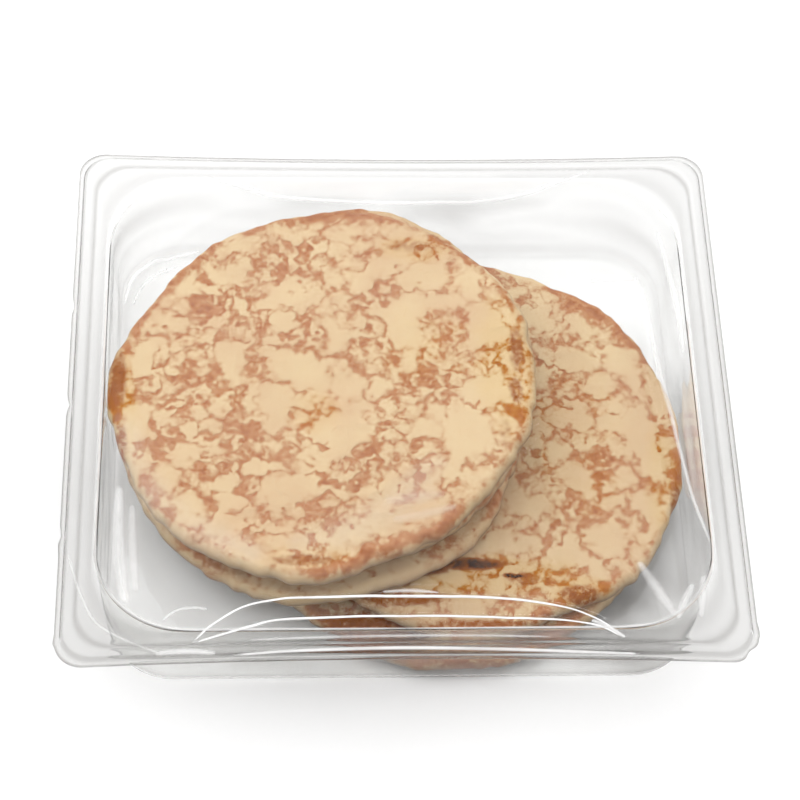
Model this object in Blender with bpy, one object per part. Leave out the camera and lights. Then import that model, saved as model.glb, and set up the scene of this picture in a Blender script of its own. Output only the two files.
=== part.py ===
"""Tray pack of five blinis: a clear formed tray, its sealed top film and the blinis inside.

The frame: origin at the middle of the underside of the tray, +X along the long side, +Z up.
Sizes are in millimetres until make_object, which writes metres.
"""

import bpy
import numpy as np

MM = 0.001
GAP = 0.4  # clear space between two pieces that touch

# Tray
WIDTH = 190.0
DEPTH = 172.0
HEIGHT = 36.0
OUTER_RADIUS = 8.0
SIDE_BOW = 2.0  # how far the film pulls in the middle of the two long edges
TRAY_WALL = 0.6
OPENING_HALF_X = 84.6
OPENING_HALF_Y = 75.2
OPENING_RADIUS = 25.0
FLOOR_HALF_X = 83.2
FLOOR_HALF_Y = 73.9
FLOOR_RADIUS = 19.0
FLOOR_FILLET = 3.0
LIP_DROP = 1.3  # the outer lip lies this far under the seal face
LIP_WIDTH = 1.4
LIP_RISE = 0.8  # the width that the step from the lip to the seal face takes
GROOVE_AT = 5.3  # from the outer edge to the middle of the stiffening groove
GROOVE_HALF = 0.6
GROOVE_DEEP = 0.35
SHOULDER = 1.6  # the round shoulder where the seal face turns down into the wall

# Film
FILM_THICK = 0.3
FILM_CLEAR = 0.9  # over the food, so that its flat facets stay clear of the edges
FILM_PULL = 0.0085  # sag added at each step of the settling, so how far it is drawn in
FILM_STEPS = 2500

# Blinis
THICK = 6.3
EDGE_ROUND = 2.8  # how far the round side reaches in from the outline
SAG_RADIUS = 260.0  # a blini that hangs over bends on this radius
LUMP = 0.22  # height of the low swellings on the baked top
OUTLINE_WAVE = 0.35  # spread of the small waves in the outline
SEED = 7

# name, centre x, centre y, radius, long axis: how much longer and at what angle, third-order swelling
# and its angle; from the lowest to the highest
BLINIS = (
    ("blini_right_lower", 15.0, -12.0, 60.8, 0.3, 0.0, 0.4, 250.0),
    ("blini_right_upper", 22.2, -3.4, 62.5, 0.6, 80.0, 0.5, 215.0),
    ("blini_left_lower", -22.5, 2.0, 60.0, 0.8, 60.0, 0.5, 235.0),
    ("blini_left_middle", -19.5, 10.2, 60.3, 1.6, 62.0, 0.4, 70.0),
    ("blini_left_upper", -22.6, 4.0, 61.7, 2.6, 45.0, 0.5, 245.0),
)

# Meshing
CORNER_STEPS = 8
SIDE_STEPS = 4
BLINI_SIDES = 48
FIELD_STEP = 1.5

MATERIALS = {
    "clear_tray": ((0.88, 0.93, 0.92, 0.3), 0.08),
    "clear_film": ((0.94, 0.95, 0.95, 0.2), 0.05),
    "baked_blini": ((0.80, 0.56, 0.32, 1.0), 0.75),
}

field_x = np.arange(-96.0, 96.1, FIELD_STEP)
field_y = np.arange(-87.0, 87.1, FIELD_STEP)
GRID_X, GRID_Y = np.meshgrid(field_x, field_y, indexing="ij")


def clear_scene():
    for old in list(bpy.data.objects):
        bpy.data.objects.remove(old)


def material(name):
    """A plain surface with the colour and the roughness of the table above."""
    found = bpy.data.materials.get(name)
    if found:
        return found
    colour, roughness = MATERIALS[name]
    made = bpy.data.materials.new(name)
    made.use_nodes = True
    shader = made.node_tree.nodes["Principled BSDF"]
    shader.inputs["Base Color"].default_value = colour[:3] + (1.0,)
    shader.inputs["Alpha"].default_value = colour[3]
    shader.inputs["Roughness"].default_value = roughness
    return made


def make_object(name, rings, material_name):
    """A closed body through rings that all run counterclockwise seen from above.

    The first ring lies in the underside and the last one in the top, and a fan closes each.
    """
    rings = np.asarray(rings)
    count, sides = rings.shape[:2]
    points = np.concatenate([rings.reshape(-1, 3), rings[:1].mean(1), rings[-1:].mean(1)])
    low, high = count * sides, count * sides + 1
    ring = np.arange(sides)
    after = (ring + 1) % sides
    start = (np.arange(count - 1) * sides)[:, None]
    quads = np.stack([start + ring, start + after, start + sides + after, start + sides + ring], -1)
    faces = quads.reshape(-1, 4).tolist()
    faces += [(low, b, a) for a, b in zip(ring.tolist(), after.tolist())]
    top = (count - 1) * sides
    faces += [(high, top + a, top + b) for a, b in zip(ring.tolist(), after.tolist())]
    mesh = bpy.data.meshes.new(name)
    mesh.from_pydata((points * MM).tolist(), [], faces)
    mesh.shade_smooth()
    mesh.set_sharp_from_angle(angle=np.radians(40))
    mesh.materials.append(material(material_name))
    made = bpy.data.objects.new(name, mesh)
    bpy.context.scene.collection.objects.link(made)
    return made


def rounded_rectangle(half_x, half_y, radius, bow=0.0):
    """Points round a rectangle with arcs for corners; bow draws in the middle of the long sides."""
    turn = np.linspace(0.0, 0.5 * np.pi, CORNER_STEPS + 1)
    corners = []
    for quarter, (sx, sy) in enumerate(((1, 1), (-1, 1), (-1, -1), (1, -1))):
        angle = turn + quarter * 0.5 * np.pi
        x = sx * (half_x - radius) + radius * np.cos(angle)
        y = sy * (half_y - radius) + radius * np.sin(angle)
        corners.append(np.stack([x, y], 1))
    outline = []
    for corner, following in zip(corners, corners[1:] + corners[:1]):
        share = np.linspace(0.0, 1.0, SIDE_STEPS + 1)[1:-1, None]
        outline += [corner, corner[-1] * (1 - share) + following[0] * share]
    outline = np.concatenate(outline)
    drawn_in = bow * (1.0 - (outline[:, 0] / half_x) ** 2)
    outline[:, 1] -= np.sign(outline[:, 1]) * drawn_in * (np.abs(outline[:, 1]) > half_y - 0.6 * radius)
    return outline


def level_ring(outline, z):
    return np.column_stack([outline, np.full(len(outline), z)])


def flange_ring(inset, z):
    """A ring of the rim, inset from the outer edge; its corners open up towards the opening."""
    share = inset / (WIDTH / 2 - OPENING_HALF_X)
    radius = OUTER_RADIUS + (OPENING_RADIUS - OUTER_RADIUS) * share**3
    half_y = DEPTH / 2 - share * (DEPTH / 2 - OPENING_HALF_Y)
    return level_ring(rounded_rectangle(WIDTH / 2 - inset, half_y, radius, SIDE_BOW * (1 - share)), z)


def wall_ring(share, offset, z):
    """A ring of the wall: share 0 at the floor and 1 at the opening, offset outwards."""
    half_x = FLOOR_HALF_X + share * (OPENING_HALF_X - FLOOR_HALF_X)
    half_y = FLOOR_HALF_Y + share * (OPENING_HALF_Y - FLOOR_HALF_Y)
    radius = FLOOR_RADIUS + share * (OPENING_RADIUS - FLOOR_RADIUS)
    return level_ring(rounded_rectangle(half_x + offset, half_y + offset, radius + offset), z)


def tray_side(offset):
    """The rings of one face of the tray, floor to lip: offset 0 inside, the wall thickness outside."""
    lowest = TRAY_WALL - offset
    rings = []
    for turn in np.radians((0.0, 30.0, 60.0, 90.0)):
        inset = FLOOR_FILLET * (1 - np.sin(turn))
        ring = wall_ring(0.0, offset - inset, lowest + FLOOR_FILLET * (1 - np.cos(turn)))
        rings.append(ring)
    rings.append(wall_ring(0.5, offset, 0.5 * HEIGHT))
    shoulder_low = HEIGHT - offset - SHOULDER
    for turn in np.radians((0.0, 45.0, 90.0)):
        out = offset * np.cos(turn) + SHOULDER * (1 - np.cos(turn))
        rings.append(wall_ring(1.0, out, shoulder_low + SHOULDER * np.sin(turn)))
    face = HEIGHT - offset
    # The underside keeps clear of the groove and of the lip by the wall's thickness.
    rings.append(flange_ring(GROOVE_AT + GROOVE_HALF + 0.8, face))
    rings.append(flange_ring(GROOVE_AT + GROOVE_HALF, face))
    rings.append(flange_ring(GROOVE_AT, face - GROOVE_DEEP))
    rings.append(flange_ring(GROOVE_AT - GROOVE_HALF, face))
    rings.append(flange_ring(LIP_WIDTH + LIP_RISE + 0.5 * offset, face))
    rings.append(flange_ring(LIP_WIDTH + 0.5 * offset, face - LIP_DROP))
    rings.append(flange_ring(0.0, face - LIP_DROP))
    return rings


def make_tray():
    outside = tray_side(TRAY_WALL)
    inside = tray_side(0.0)
    return make_object("tray", outside + inside[::-1], "clear_tray")


def at(field, x, y):
    """The field's value at x, y, straight between the four points round it."""
    across = np.clip((x - field_x[0]) / FIELD_STEP, 0, len(field_x) - 1.001)
    along = np.clip((y - field_y[0]) / FIELD_STEP, 0, len(field_y) - 1.001)
    i, j = across.astype(int), along.astype(int)
    u, v = across - i, along - j
    near = field[i, j] * (1 - u) + field[i + 1, j] * u
    far = field[i, j + 1] * (1 - u) + field[i + 1, j + 1] * u
    return near * (1 - v) + far * v


def drape(support):
    """How a blini lies on a support: each carrying point holds up a dome that curves down on
    SAG_RADIUS, and the blini follows the highest of them. The dome is a sum of a part in x and a
    part in y, so the two directions are taken one after the other."""
    drop_x = (field_x[:, None] - field_x[None, :]) ** 2 / (2 * SAG_RADIUS)
    drop_y = (field_y[:, None] - field_y[None, :]) ** 2 / (2 * SAG_RADIUS)
    held = (support[None, :, :] - drop_x[:, :, None]).max(1)
    return (held[:, None, :] - drop_y[None, :, :]).max(2)


def outline_radius(angle, blini, waves):
    """The blini's radius: a circle, a long axis, a third-order swelling and small seeded waves."""
    _, _, _, radius, longer, long_angle, swelling, swelling_angle = blini
    found = radius + longer * np.cos(2 * (angle - np.radians(long_angle)))
    found = found + swelling * np.cos(3 * (angle - np.radians(swelling_angle)))
    for order, (size, phase) in enumerate(waves, 4):
        found = found + OUTLINE_WAVE * size * np.cos(order * angle + phase)
    return found


def lumps(x, y, phases):
    """Low swellings of the top: a few crossed sine waves with seeded phases."""
    low = np.sin(x / 7.0 + phases[0]) * np.sin(y / 8.5 + phases[1])
    lower = np.sin((x + y) / 15.0 + phases[2]) * np.sin((x - y) / 12.0 + phases[3])
    return LUMP * (0.5 * low + 0.5 * lower)


def make_blini(blini, support, rng):
    """Adds one blini on the support and gives back the support with its top on it."""
    name, centre_x, centre_y = blini[:3]
    waves = np.column_stack([rng.normal(size=6), rng.uniform(0, 2 * np.pi, 6)])
    phases = rng.uniform(0, 2 * np.pi, 4)
    underside = drape(support) + GAP
    angle = np.linspace(0, 2 * np.pi, BLINI_SIDES, endpoint=False)
    radius = outline_radius(angle, blini, waves)
    flat = radius - EDGE_ROUND
    half = THICK / 2
    # (reach from the centre, height over the underside) of each ring, from the middle of the
    # underside, round the side, to the middle of the top
    profile = [(flat * share, 0.0) for share in (0.4, 0.8, 1.0)]
    for turn in np.radians((-60.0, -30.0, 0.0, 30.0, 60.0)):
        profile.append((flat + EDGE_ROUND * np.cos(turn), half + half * np.sin(turn)))
    profile += [(flat * share, THICK) for share in (1.0, 0.94, 0.8, 0.6, 0.4, 0.2)]
    rings = []
    for reach, height in profile:
        x = centre_x + reach * np.cos(angle)
        y = centre_y + reach * np.sin(angle)
        z = at(underside, x, y) + height
        z += lumps(x, y, phases) * (height > half)
        # A side that meets the wall is pressed flat against it.
        share = np.clip(z / HEIGHT, 0, 1)
        wall_x = FLOOR_HALF_X + share * (OPENING_HALF_X - FLOOR_HALF_X) - GAP
        wall_y = FLOOR_HALF_Y + share * (OPENING_HALF_Y - FLOOR_HALF_Y) - GAP
        rings.append(np.stack([np.clip(x, -wall_x, wall_x), np.clip(y, -wall_y, wall_y), z], 1))
    make_object(name, rings, "baked_blini")
    out_x, out_y = GRID_X - centre_x, GRID_Y - centre_y
    reach = np.hypot(out_x, out_y)
    edge = outline_radius(np.arctan2(out_y, out_x), blini, waves)
    past = np.clip((reach - (edge - EDGE_ROUND)) / EDGE_ROUND, 0, 1)
    top = underside + half + half * np.sqrt(1 - past**2) + lumps(GRID_X, GRID_Y, phases)
    return np.where(reach < edge, np.maximum(support, top), support)


def settle_film(support):
    """The film's height: a skin held at the seal face, drawn down a little at each step and kept
    over the food, until it hardly moves."""
    inside = (np.abs(GRID_X) < OPENING_HALF_X) & (np.abs(GRID_Y) < OPENING_HALF_Y)
    corner_x = np.clip(np.abs(GRID_X) - (OPENING_HALF_X - OPENING_RADIUS), 0, None)
    corner_y = np.clip(np.abs(GRID_Y) - (OPENING_HALF_Y - OPENING_RADIUS), 0, None)
    inside &= np.hypot(corner_x, corner_y) < OPENING_RADIUS
    seal = HEIGHT + 0.3
    windows = np.lib.stride_tricks.sliding_window_view(support, (3, 3))
    carried = windows.max((2, 3)) + FILM_CLEAR
    skin = np.full(GRID_X.shape, seal)
    for _ in range(FILM_STEPS):
        around = (skin[2:, 1:-1] + skin[:-2, 1:-1] + skin[1:-1, 2:] + skin[1:-1, :-2]) / 4
        moved = np.maximum(around - FILM_PULL, carried)
        skin[1:-1, 1:-1] = np.where(inside[1:-1, 1:-1], moved, seal)
    return skin


def make_film(support):
    skin = settle_film(support)
    shares = np.concatenate([np.linspace(0.06, 0.86, 12), np.linspace(0.9, 1.0, 4)])
    lower = []
    for share in shares:
        outline = wall_ring(1.0, 0.0, 0.0)[:, :2] * share
        lower.append(np.column_stack([outline, at(skin, outline[:, 0], outline[:, 1])]))
    lower.append(flange_ring(GROOVE_AT, HEIGHT + 0.3))
    lower.append(flange_ring(LIP_WIDTH + LIP_RISE, HEIGHT + 0.3))
    lower.append(flange_ring(LIP_WIDTH - 0.1, HEIGHT - LIP_DROP + 0.3))
    lower.append(flange_ring(0.0, HEIGHT - LIP_DROP + 0.3))
    upper = [ring + (0, 0, FILM_THICK) for ring in lower[::-1]]
    return make_object("film", lower + upper, "clear_film")


def main():
    clear_scene()
    make_tray()
    rng = np.random.default_rng(SEED)
    support = np.full(GRID_X.shape, TRAY_WALL)
    for blini in BLINIS:
        support = make_blini(blini, support, rng)
    make_film(support)


main()
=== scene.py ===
# %% [markdown]
# # A clear tray pack of blinis
# The object is a formed clear tray with a sealed clear film, and five flat blinis inside it in two
# overlapping piles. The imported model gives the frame: its nodes carry the sizes and the places.
# Here each node gets a finer mesh of the same form and a finish. Every shape is a function of two
# parameters, worked out as whole numpy arrays in millimetres, and one function at the end of each
# shape writes it into a mesh in metres.

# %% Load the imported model
import bpy
import numpy as np
from mathutils import Matrix


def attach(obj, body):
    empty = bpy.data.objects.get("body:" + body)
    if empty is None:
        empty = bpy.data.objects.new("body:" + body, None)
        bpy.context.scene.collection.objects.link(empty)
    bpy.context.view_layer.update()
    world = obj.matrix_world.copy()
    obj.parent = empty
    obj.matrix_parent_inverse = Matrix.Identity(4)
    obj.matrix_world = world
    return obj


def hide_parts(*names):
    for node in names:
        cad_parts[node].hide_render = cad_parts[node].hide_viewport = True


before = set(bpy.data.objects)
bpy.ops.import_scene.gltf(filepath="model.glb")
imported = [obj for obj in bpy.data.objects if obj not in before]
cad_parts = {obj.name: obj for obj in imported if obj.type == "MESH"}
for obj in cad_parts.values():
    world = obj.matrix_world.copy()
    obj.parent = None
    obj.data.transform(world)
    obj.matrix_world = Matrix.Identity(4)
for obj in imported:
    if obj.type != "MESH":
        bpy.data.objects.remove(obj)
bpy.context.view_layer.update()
MM = 0.001
print("nodes:", sorted(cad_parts))

# %% [markdown]
# ## The camera
# The camera was fitted to three outlines of the tray: the rim, the opening and the base. It stands
# 0.66 m away, looks down at 58 degrees and is turned a little both ways, as a hand-placed camera is.
# Its three axes are built from those angles, and they fill the columns of its matrix.

# %% Camera
FOCAL_PIXELS = 2307.0
IMAGE_PIXELS = 800.0
SENSOR = 36.0
CAMERA_HIGH = np.radians(58.0)
CAMERA_ROLL = 0.07814
CAMERA_YAW = 0.09471
CAMERA_AIM = np.array([-0.33, -3.32, 36.0])
CAMERA_AWAY = 659.0


def camera_axes():
    """Right, up and forward: forward turned by the yaw and dipped, right and up rolled round it."""
    forward = np.array([np.sin(CAMERA_YAW) * np.cos(CAMERA_HIGH),
                        np.cos(CAMERA_YAW) * np.cos(CAMERA_HIGH), -np.sin(CAMERA_HIGH)])
    level = np.array([np.cos(CAMERA_YAW), -np.sin(CAMERA_YAW), 0.0])
    upright = np.cross(level, forward)
    right = np.cos(CAMERA_ROLL) * level + np.sin(CAMERA_ROLL) * upright
    up = -np.sin(CAMERA_ROLL) * level + np.cos(CAMERA_ROLL) * upright
    return right, up, forward


def place_camera():
    """The camera at its distance behind the point it aims at, with the fitted focal length."""
    right, up, forward = camera_axes()
    spot = (CAMERA_AIM - CAMERA_AWAY * forward) * MM
    lens = bpy.data.cameras.new("camera")
    lens.sensor_width = SENSOR
    lens.lens = FOCAL_PIXELS / IMAGE_PIXELS * SENSOR
    lens.clip_start = 0.01
    camera = bpy.data.objects.new("camera", lens)
    bpy.context.scene.collection.objects.link(camera)
    columns = np.column_stack([right, up, -forward, spot])
    camera.matrix_world = Matrix(columns.tolist() + [[0.0, 0.0, 0.0, 1.0]])
    bpy.context.scene.camera = camera
    return camera


camera = place_camera()
print("camera at, mm:", [round(v / MM) for v in camera.matrix_world.translation])

# %% [markdown]
# ## Shader helpers
# The surround, the crust and the clear plastics are worked out by small trees of shader nodes. They
# could be laid out by hand in the node editor, but a tree in code can be read, repeated and changed.
# These helpers add one node each and give its output, so that a tree reads like a sum.


# %% Node helpers
def feed(tree, value, socket):
    """Puts a number or a colour on a socket, or links another node's output to it."""
    if isinstance(value, tuple):
        socket.default_value = value + (1.0,)
    elif isinstance(value, (int, float)):
        socket.default_value = value
    elif value is not None:
        tree.links.new(value, socket)


def math(tree, operation, first, second=None, clamp=False):
    node = tree.nodes.new("ShaderNodeMath")
    node.operation = operation
    node.use_clamp = clamp
    feed(tree, first, node.inputs[0])
    feed(tree, second, node.inputs[1])
    return node.outputs[0]


def times(tree, first, second, clamp=False):
    return math(tree, "MULTIPLY", first, second, clamp)


def plus(tree, first, second, clamp=False):
    return math(tree, "ADD", first, second, clamp)


def minus(tree, first, second):
    return math(tree, "SUBTRACT", first, second)


def noise(tree, vector, scale, detail=3.0, rough=0.55):
    node = tree.nodes.new("ShaderNodeTexNoise")
    for socket, value in (("Vector", vector), ("Scale", scale), ("Detail", detail), ("Roughness", rough)):
        feed(tree, value, node.inputs[socket])
    return node.outputs["Fac"]


def remap(tree, value, low, high, to_low=0.0, to_high=1.0):
    """An S curve from one range to another, level outside it."""
    node = tree.nodes.new("ShaderNodeMapRange")
    node.interpolation_type = "SMOOTHSTEP"
    sockets = ("Value", "From Min", "From Max", "To Min", "To Max")
    for socket, number in zip(sockets, (value, low, high, to_low, to_high)):
        feed(tree, number, node.inputs[socket])
    return node.outputs["Result"]


def blend_colours(tree, share, first, second):
    """The first colour at share 0, the second at share 1."""
    node = tree.nodes.new("ShaderNodeMix")
    node.data_type = "RGBA"
    feed(tree, share, node.inputs["Factor"])
    first_socket, second_socket = [s for s in node.inputs if s.type == "RGBA"]
    feed(tree, first, first_socket)
    feed(tree, second, second_socket)
    return next(s for s in node.outputs if s.type == "RGBA")


def attribute(tree, name):
    """A value that the mesh carries on its points."""
    node = tree.nodes.new("ShaderNodeAttribute")
    node.attribute_name = name
    return node.outputs["Fac"]


def object_place(tree):
    """The place on the object, in metres, which a pattern follows."""
    return tree.nodes.new("ShaderNodeTexCoord").outputs["Object"]


# %% [markdown]
# A group is a tree of nodes in a box of its own, so that one effect serves several materials. The
# next helpers make an empty group and place a group in a material. Then come three for what every
# material needs: a start, a bump from a height, and two shaders mixed into one surface.


# %% Group and material helpers
def new_group(name, inputs, outputs):
    """An empty shader group; inputs and outputs are (name, kind) pairs."""
    group = bpy.data.node_groups.new(name, "ShaderNodeTree")
    for direction, sockets in (("INPUT", inputs), ("OUTPUT", outputs)):
        for socket, kind in sockets:
            group.interface.new_socket(socket, in_out=direction, socket_type="NodeSocket" + kind)
    return group, group.nodes.new("NodeGroupInput"), group.nodes.new("NodeGroupOutput")


def place_group(tree, group, values):
    """The group in a material, with a number, a colour or a link for each named input."""
    node = tree.nodes.new("ShaderNodeGroup")
    node.node_tree = group
    for socket, value in values.items():
        feed(tree, value, node.inputs[socket])
    return node


def new_material(name):
    """A material, its tree and its Principled shader."""
    made = bpy.data.materials.new(name)
    made.use_nodes = True
    return made, made.node_tree, made.node_tree.nodes["Principled BSDF"]


def bumped(tree, height, strength, distance):
    """A surface direction that follows the height, with its full swing given in metres."""
    node = tree.nodes.new("ShaderNodeBump")
    for socket, value in (("Height", height), ("Strength", strength), ("Distance", distance)):
        feed(tree, value, node.inputs[socket])
    return node.outputs["Normal"]


def mix_shaders(tree, share, first, second):
    """The first shader at share 0, the second at share 1, as the material's surface."""
    node = tree.nodes.new("ShaderNodeMixShader")
    for socket, value in zip(node.inputs, (share, first, second)):
        feed(tree, value, socket)
    feed(tree, node.outputs["Shader"], tree.nodes["Material Output"].inputs["Surface"])


# %% [markdown]
# ## The studio
# The pack stands on a plain pale floor in soft light, under large lamps and a grey surround. A
# picture of a studio could light it too, but with a few lamps, and a surround whose strength only
# changes with height and depth, it is plain what does what. The surround stays darker than the
# lamps, so that the clear plastic shows: its edges pick up the grey, and its folds the lamps.

# %% Floor and lamps
FLOOR_SIZE = 4.0
FLOOR_DROP = 0.0004
# Strength of the surround at the horizon and overhead, and the share of it that is left in front
SURROUND_LOW = 0.22
SURROUND_HIGH = 1.27
SURROUND_FRONT = 0.74
# Name, place in metres, size in metres, watts; each lamp looks at the tray
LAMPS = (
    ("lamp_over", (-0.45, 0.45, 1.15), (1.6, 1.4), 7.8),
    ("lamp_left", (-1.0, 0.15, 0.55), (0.08, 1.0), 0.9),
    ("lamp_right", (1.0, 0.25, 0.50), (0.08, 1.0), 0.9),
    ("lamp_back", (0.1, 1.1, 0.45), (1.2, 0.06), 0.9),
)


def flat_sheet(name, half, height):
    """A square, two half-sizes wide, at one height."""
    mesh = bpy.data.meshes.new(name)
    corners = [(-half, -half, height), (half, -half, height), (half, half, height), (-half, half, height)]
    mesh.from_pydata(corners, [], [(0, 1, 2, 3)])
    made = bpy.data.objects.new(name, mesh)
    bpy.context.scene.collection.objects.link(made)
    return made


def aim(spot):
    """A matrix whose -Z axis runs from the spot to the tray, with X level."""
    away = np.array(spot) / np.linalg.norm(spot)
    side = np.cross((0.0, 0.0, 1.0), away)
    side = side / np.linalg.norm(side)
    columns = np.column_stack([side, np.cross(away, side), away, spot])
    return Matrix(columns.tolist() + [[0.0, 0.0, 0.0, 1.0]])


def light_studio():
    """One rectangular area lamp for each row of the table."""
    for name, spot, size, watts in LAMPS:
        lamp = bpy.data.lights.new(name, "AREA")
        lamp.shape = "RECTANGLE"
        lamp.size, lamp.size_y = size
        lamp.energy = watts
        holder = bpy.data.objects.new(name, lamp)
        bpy.context.scene.collection.objects.link(holder)
        holder.matrix_world = aim(spot)


def build_surround():
    """White light whose strength grows upwards and backwards."""
    world = bpy.data.worlds.new("surround")
    world.use_nodes = True
    tree = world.node_tree
    split = tree.nodes.new("ShaderNodeSeparateXYZ")
    feed(tree, tree.nodes.new("ShaderNodeTexCoord").outputs["Generated"], split.inputs["Vector"])
    upwards = remap(tree, split.outputs["Z"], 0.0, 0.9, SURROUND_LOW, SURROUND_HIGH)
    backwards = remap(tree, split.outputs["Y"], -0.7, 0.5, SURROUND_FRONT, 1.0)
    background = tree.nodes["Background"]
    feed(tree, times(tree, upwards, backwards), background.inputs["Strength"])
    feed(tree, (1.0, 1.0, 1.0), background.inputs["Color"])
    bpy.context.scene.world = world


floor = flat_sheet("floor", FLOOR_SIZE / 2, -FLOOR_DROP)
light_studio()
build_surround()
print("lamps:", [lamp[0] for lamp in LAMPS])

# %% [markdown]
# Light has to pass many clear walls on its way to the floor and back, so it may turn more often
# than in a usual scene. The plain view keeps the colours as they are worked out.

# %% Light paths
scene = bpy.context.scene
scene.view_settings.view_transform = "Standard"
scene.cycles.max_bounces = 28
scene.cycles.transmission_bounces = 26
scene.cycles.transparent_max_bounces = 40
scene.cycles.diffuse_bounces = 5
scene.cycles.glossy_bounces = 8
scene.cycles.sample_clamp_indirect = 4.0
print("bounces in all:", scene.cycles.max_bounces)

# %% [markdown]
# ## From numbers to meshes
# One helper writes a mesh from arrays, and two ways of covering a form use it. The first joins
# rings of points, as when a potter stacks coils. The second bends a square grid to a disc: a grid
# of rays and circles would crowd the middle, and this keeps the squares almost equal. Both give
# closed bodies whose faces point outwards.


# %% Mesh helpers
def new_object(name, points, quads, triangles, fields=None):
    """A smooth mesh object from arrays in millimetres; fields are named values on its points."""
    mesh = bpy.data.meshes.new(name)
    mesh.vertices.add(len(points))
    mesh.vertices.foreach_set("co", (points * MM).astype(np.float32).ravel())
    corners = np.concatenate([quads.ravel(), triangles.ravel()]).astype(np.int32)
    sizes = np.concatenate([np.full(len(quads), 4), np.full(len(triangles), 3)])
    starts = np.concatenate([[0], np.cumsum(sizes)[:-1]]).astype(np.int32)
    mesh.loops.add(len(corners))
    mesh.loops.foreach_set("vertex_index", corners)
    mesh.polygons.add(len(sizes))
    mesh.polygons.foreach_set("loop_start", starts)
    mesh.update(calc_edges=True)
    mesh.validate()
    mesh.shade_smooth()
    for field, values in (fields or {}).items():
        layer = mesh.attributes.new(field, "FLOAT", "POINT")
        layer.data.foreach_set("value", values.astype(np.float32))
    made = bpy.data.objects.new(name, mesh)
    bpy.context.scene.collection.objects.link(made)
    return made


def ring_faces(start_upper, start_lower, sides):
    """Quads between two rings of equal count, the first one above or inside the second."""
    here = np.arange(sides)
    after = (here + 1) % sides
    return np.stack([start_upper + here, start_lower + here, start_lower + after, start_upper + after], -1)


def body_of_rings(name, rings, fields=None):
    """A closed body through rings that run counterclockwise seen from above, the first in the
    underside and the last in the top; a fan of triangles closes each end."""
    count, sides = rings.shape[:2]
    points = np.concatenate([rings.reshape(-1, 3), rings[:1].mean(1), rings[-1:].mean(1)])
    quads = np.concatenate([ring_faces((k + 1) * sides, k * sides, sides) for k in range(count - 1)])
    here = np.arange(sides)
    after = (here + 1) % sides
    top = (count - 1) * sides
    low_fan = np.stack([np.full(sides, count * sides), after, here], -1)
    high_fan = np.stack([np.full(sides, count * sides + 1), top + here, top + after], -1)
    return new_object(name, points, quads, np.concatenate([low_fan, high_fan]), fields)


def square_to_disc(steps):
    """A grid of steps by steps over a square, bent to the unit disc: each square ring becomes a
    circle of the same half-size, so the share of the area is kept. Gives reach and angle."""
    line = np.linspace(-1.0, 1.0, steps)
    a, b = np.meshgrid(line, line, indexing="ij")
    wide = np.abs(a) > np.abs(b)
    safe_a = np.where(a == 0, 1.0, a)
    safe_b = np.where(b == 0, 1.0, b)
    reach = np.where(wide, a, b)
    angle = np.where(wide, 0.25 * np.pi * b / safe_a, 0.5 * np.pi - 0.25 * np.pi * a / safe_b)
    return np.abs(reach), np.where(reach < 0, angle + np.pi, angle)


def border_of_grid(steps):
    """The indices of the grid's outer points, counterclockwise."""
    index = np.arange(steps * steps).reshape(steps, steps)
    return np.concatenate([index[:-1, 0], index[-1, :-1], index[:0:-1, -1], index[0, :0:-1]])


def grid_faces(steps):
    """Quads between the points of a square grid."""
    index = np.arange(steps * steps).reshape(steps, steps)
    return np.stack([index[:-1, :-1], index[1:, :-1], index[1:, 1:], index[:-1, 1:]], -1).reshape(-1, 4)


# %% [markdown]
# ## Soft random fields
# Much of this object is uneven: baked batter, drawn film, formed plastic. A soft field is a lattice
# of seeded random numbers with a smooth curve through them. The same cubic curve reads the height
# maps further down.


# %% Fields
def cubic_weights(t):
    """Catmull-Rom weights of four neighbours for a share t of the way between the middle two."""
    return (0.5 * (-t + 2 * t**2 - t**3), 0.5 * (2 - 5 * t**2 + 3 * t**3),
            0.5 * (t + 4 * t**2 - 3 * t**3), 0.5 * (-t**2 + t**3))


def smooth_at(field, across, along):
    """The field at places given in lattice steps, on a smooth curve through 4 by 4 neighbours."""
    across = np.clip(across, 1.0, field.shape[0] - 2.001)
    along = np.clip(along, 1.0, field.shape[1] - 2.001)
    i, j = across.astype(int), along.astype(int)
    found = np.zeros_like(across)
    weights_along = cubic_weights(along - j)
    for step_i, weight_i in enumerate(cubic_weights(across - i)):
        for step_j, weight_j in enumerate(weights_along):
            found += weight_i * weight_j * field[i + step_i - 1, j + step_j - 1]
    return found


NOISE_SPAN = 210.0


def soft_noise(x, y, cell, seed):
    """A smooth random field of spread about one, with swellings about one cell apart."""
    count = int(NOISE_SPAN / cell) + 4
    lattice = np.random.default_rng(seed).normal(size=(count, count))
    shift = NOISE_SPAN / 2
    return 1.4 * smooth_at(lattice, (x + shift) / cell + 1, (y + shift) / cell + 1)


# %% [markdown]
# ## The tray
# The real tray is one sheet of clear plastic drawn into a mould: floor, fillet, steep wall, round
# shoulder, flat seal face with a fine groove, and an outer lip that lies a little lower. A lathe
# can't make it, because its outline changes from a tight corner at the rim to a wide one at the
# opening. So each level has its own rounded rectangle, and the rings are joined from the outside
# of the floor up, over the edge, and back down inside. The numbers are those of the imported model,
# but for the shoulder, which is a little tighter here.

# %% Tray outline
WIDTH = 190.0
DEPTH = 172.0
HEIGHT = 36.0
OUTER_RADIUS = 8.0
SIDE_BOW = 2.0
OPENING_HALF_X = 84.6
OPENING_HALF_Y = 75.2
OPENING_RADIUS = 25.0
FLOOR_HALF_X = 83.2
FLOOR_HALF_Y = 73.9
FLOOR_RADIUS = 19.0
# Points in a corner and along a side
TRAY_STEPS = (20, 80)


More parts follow.
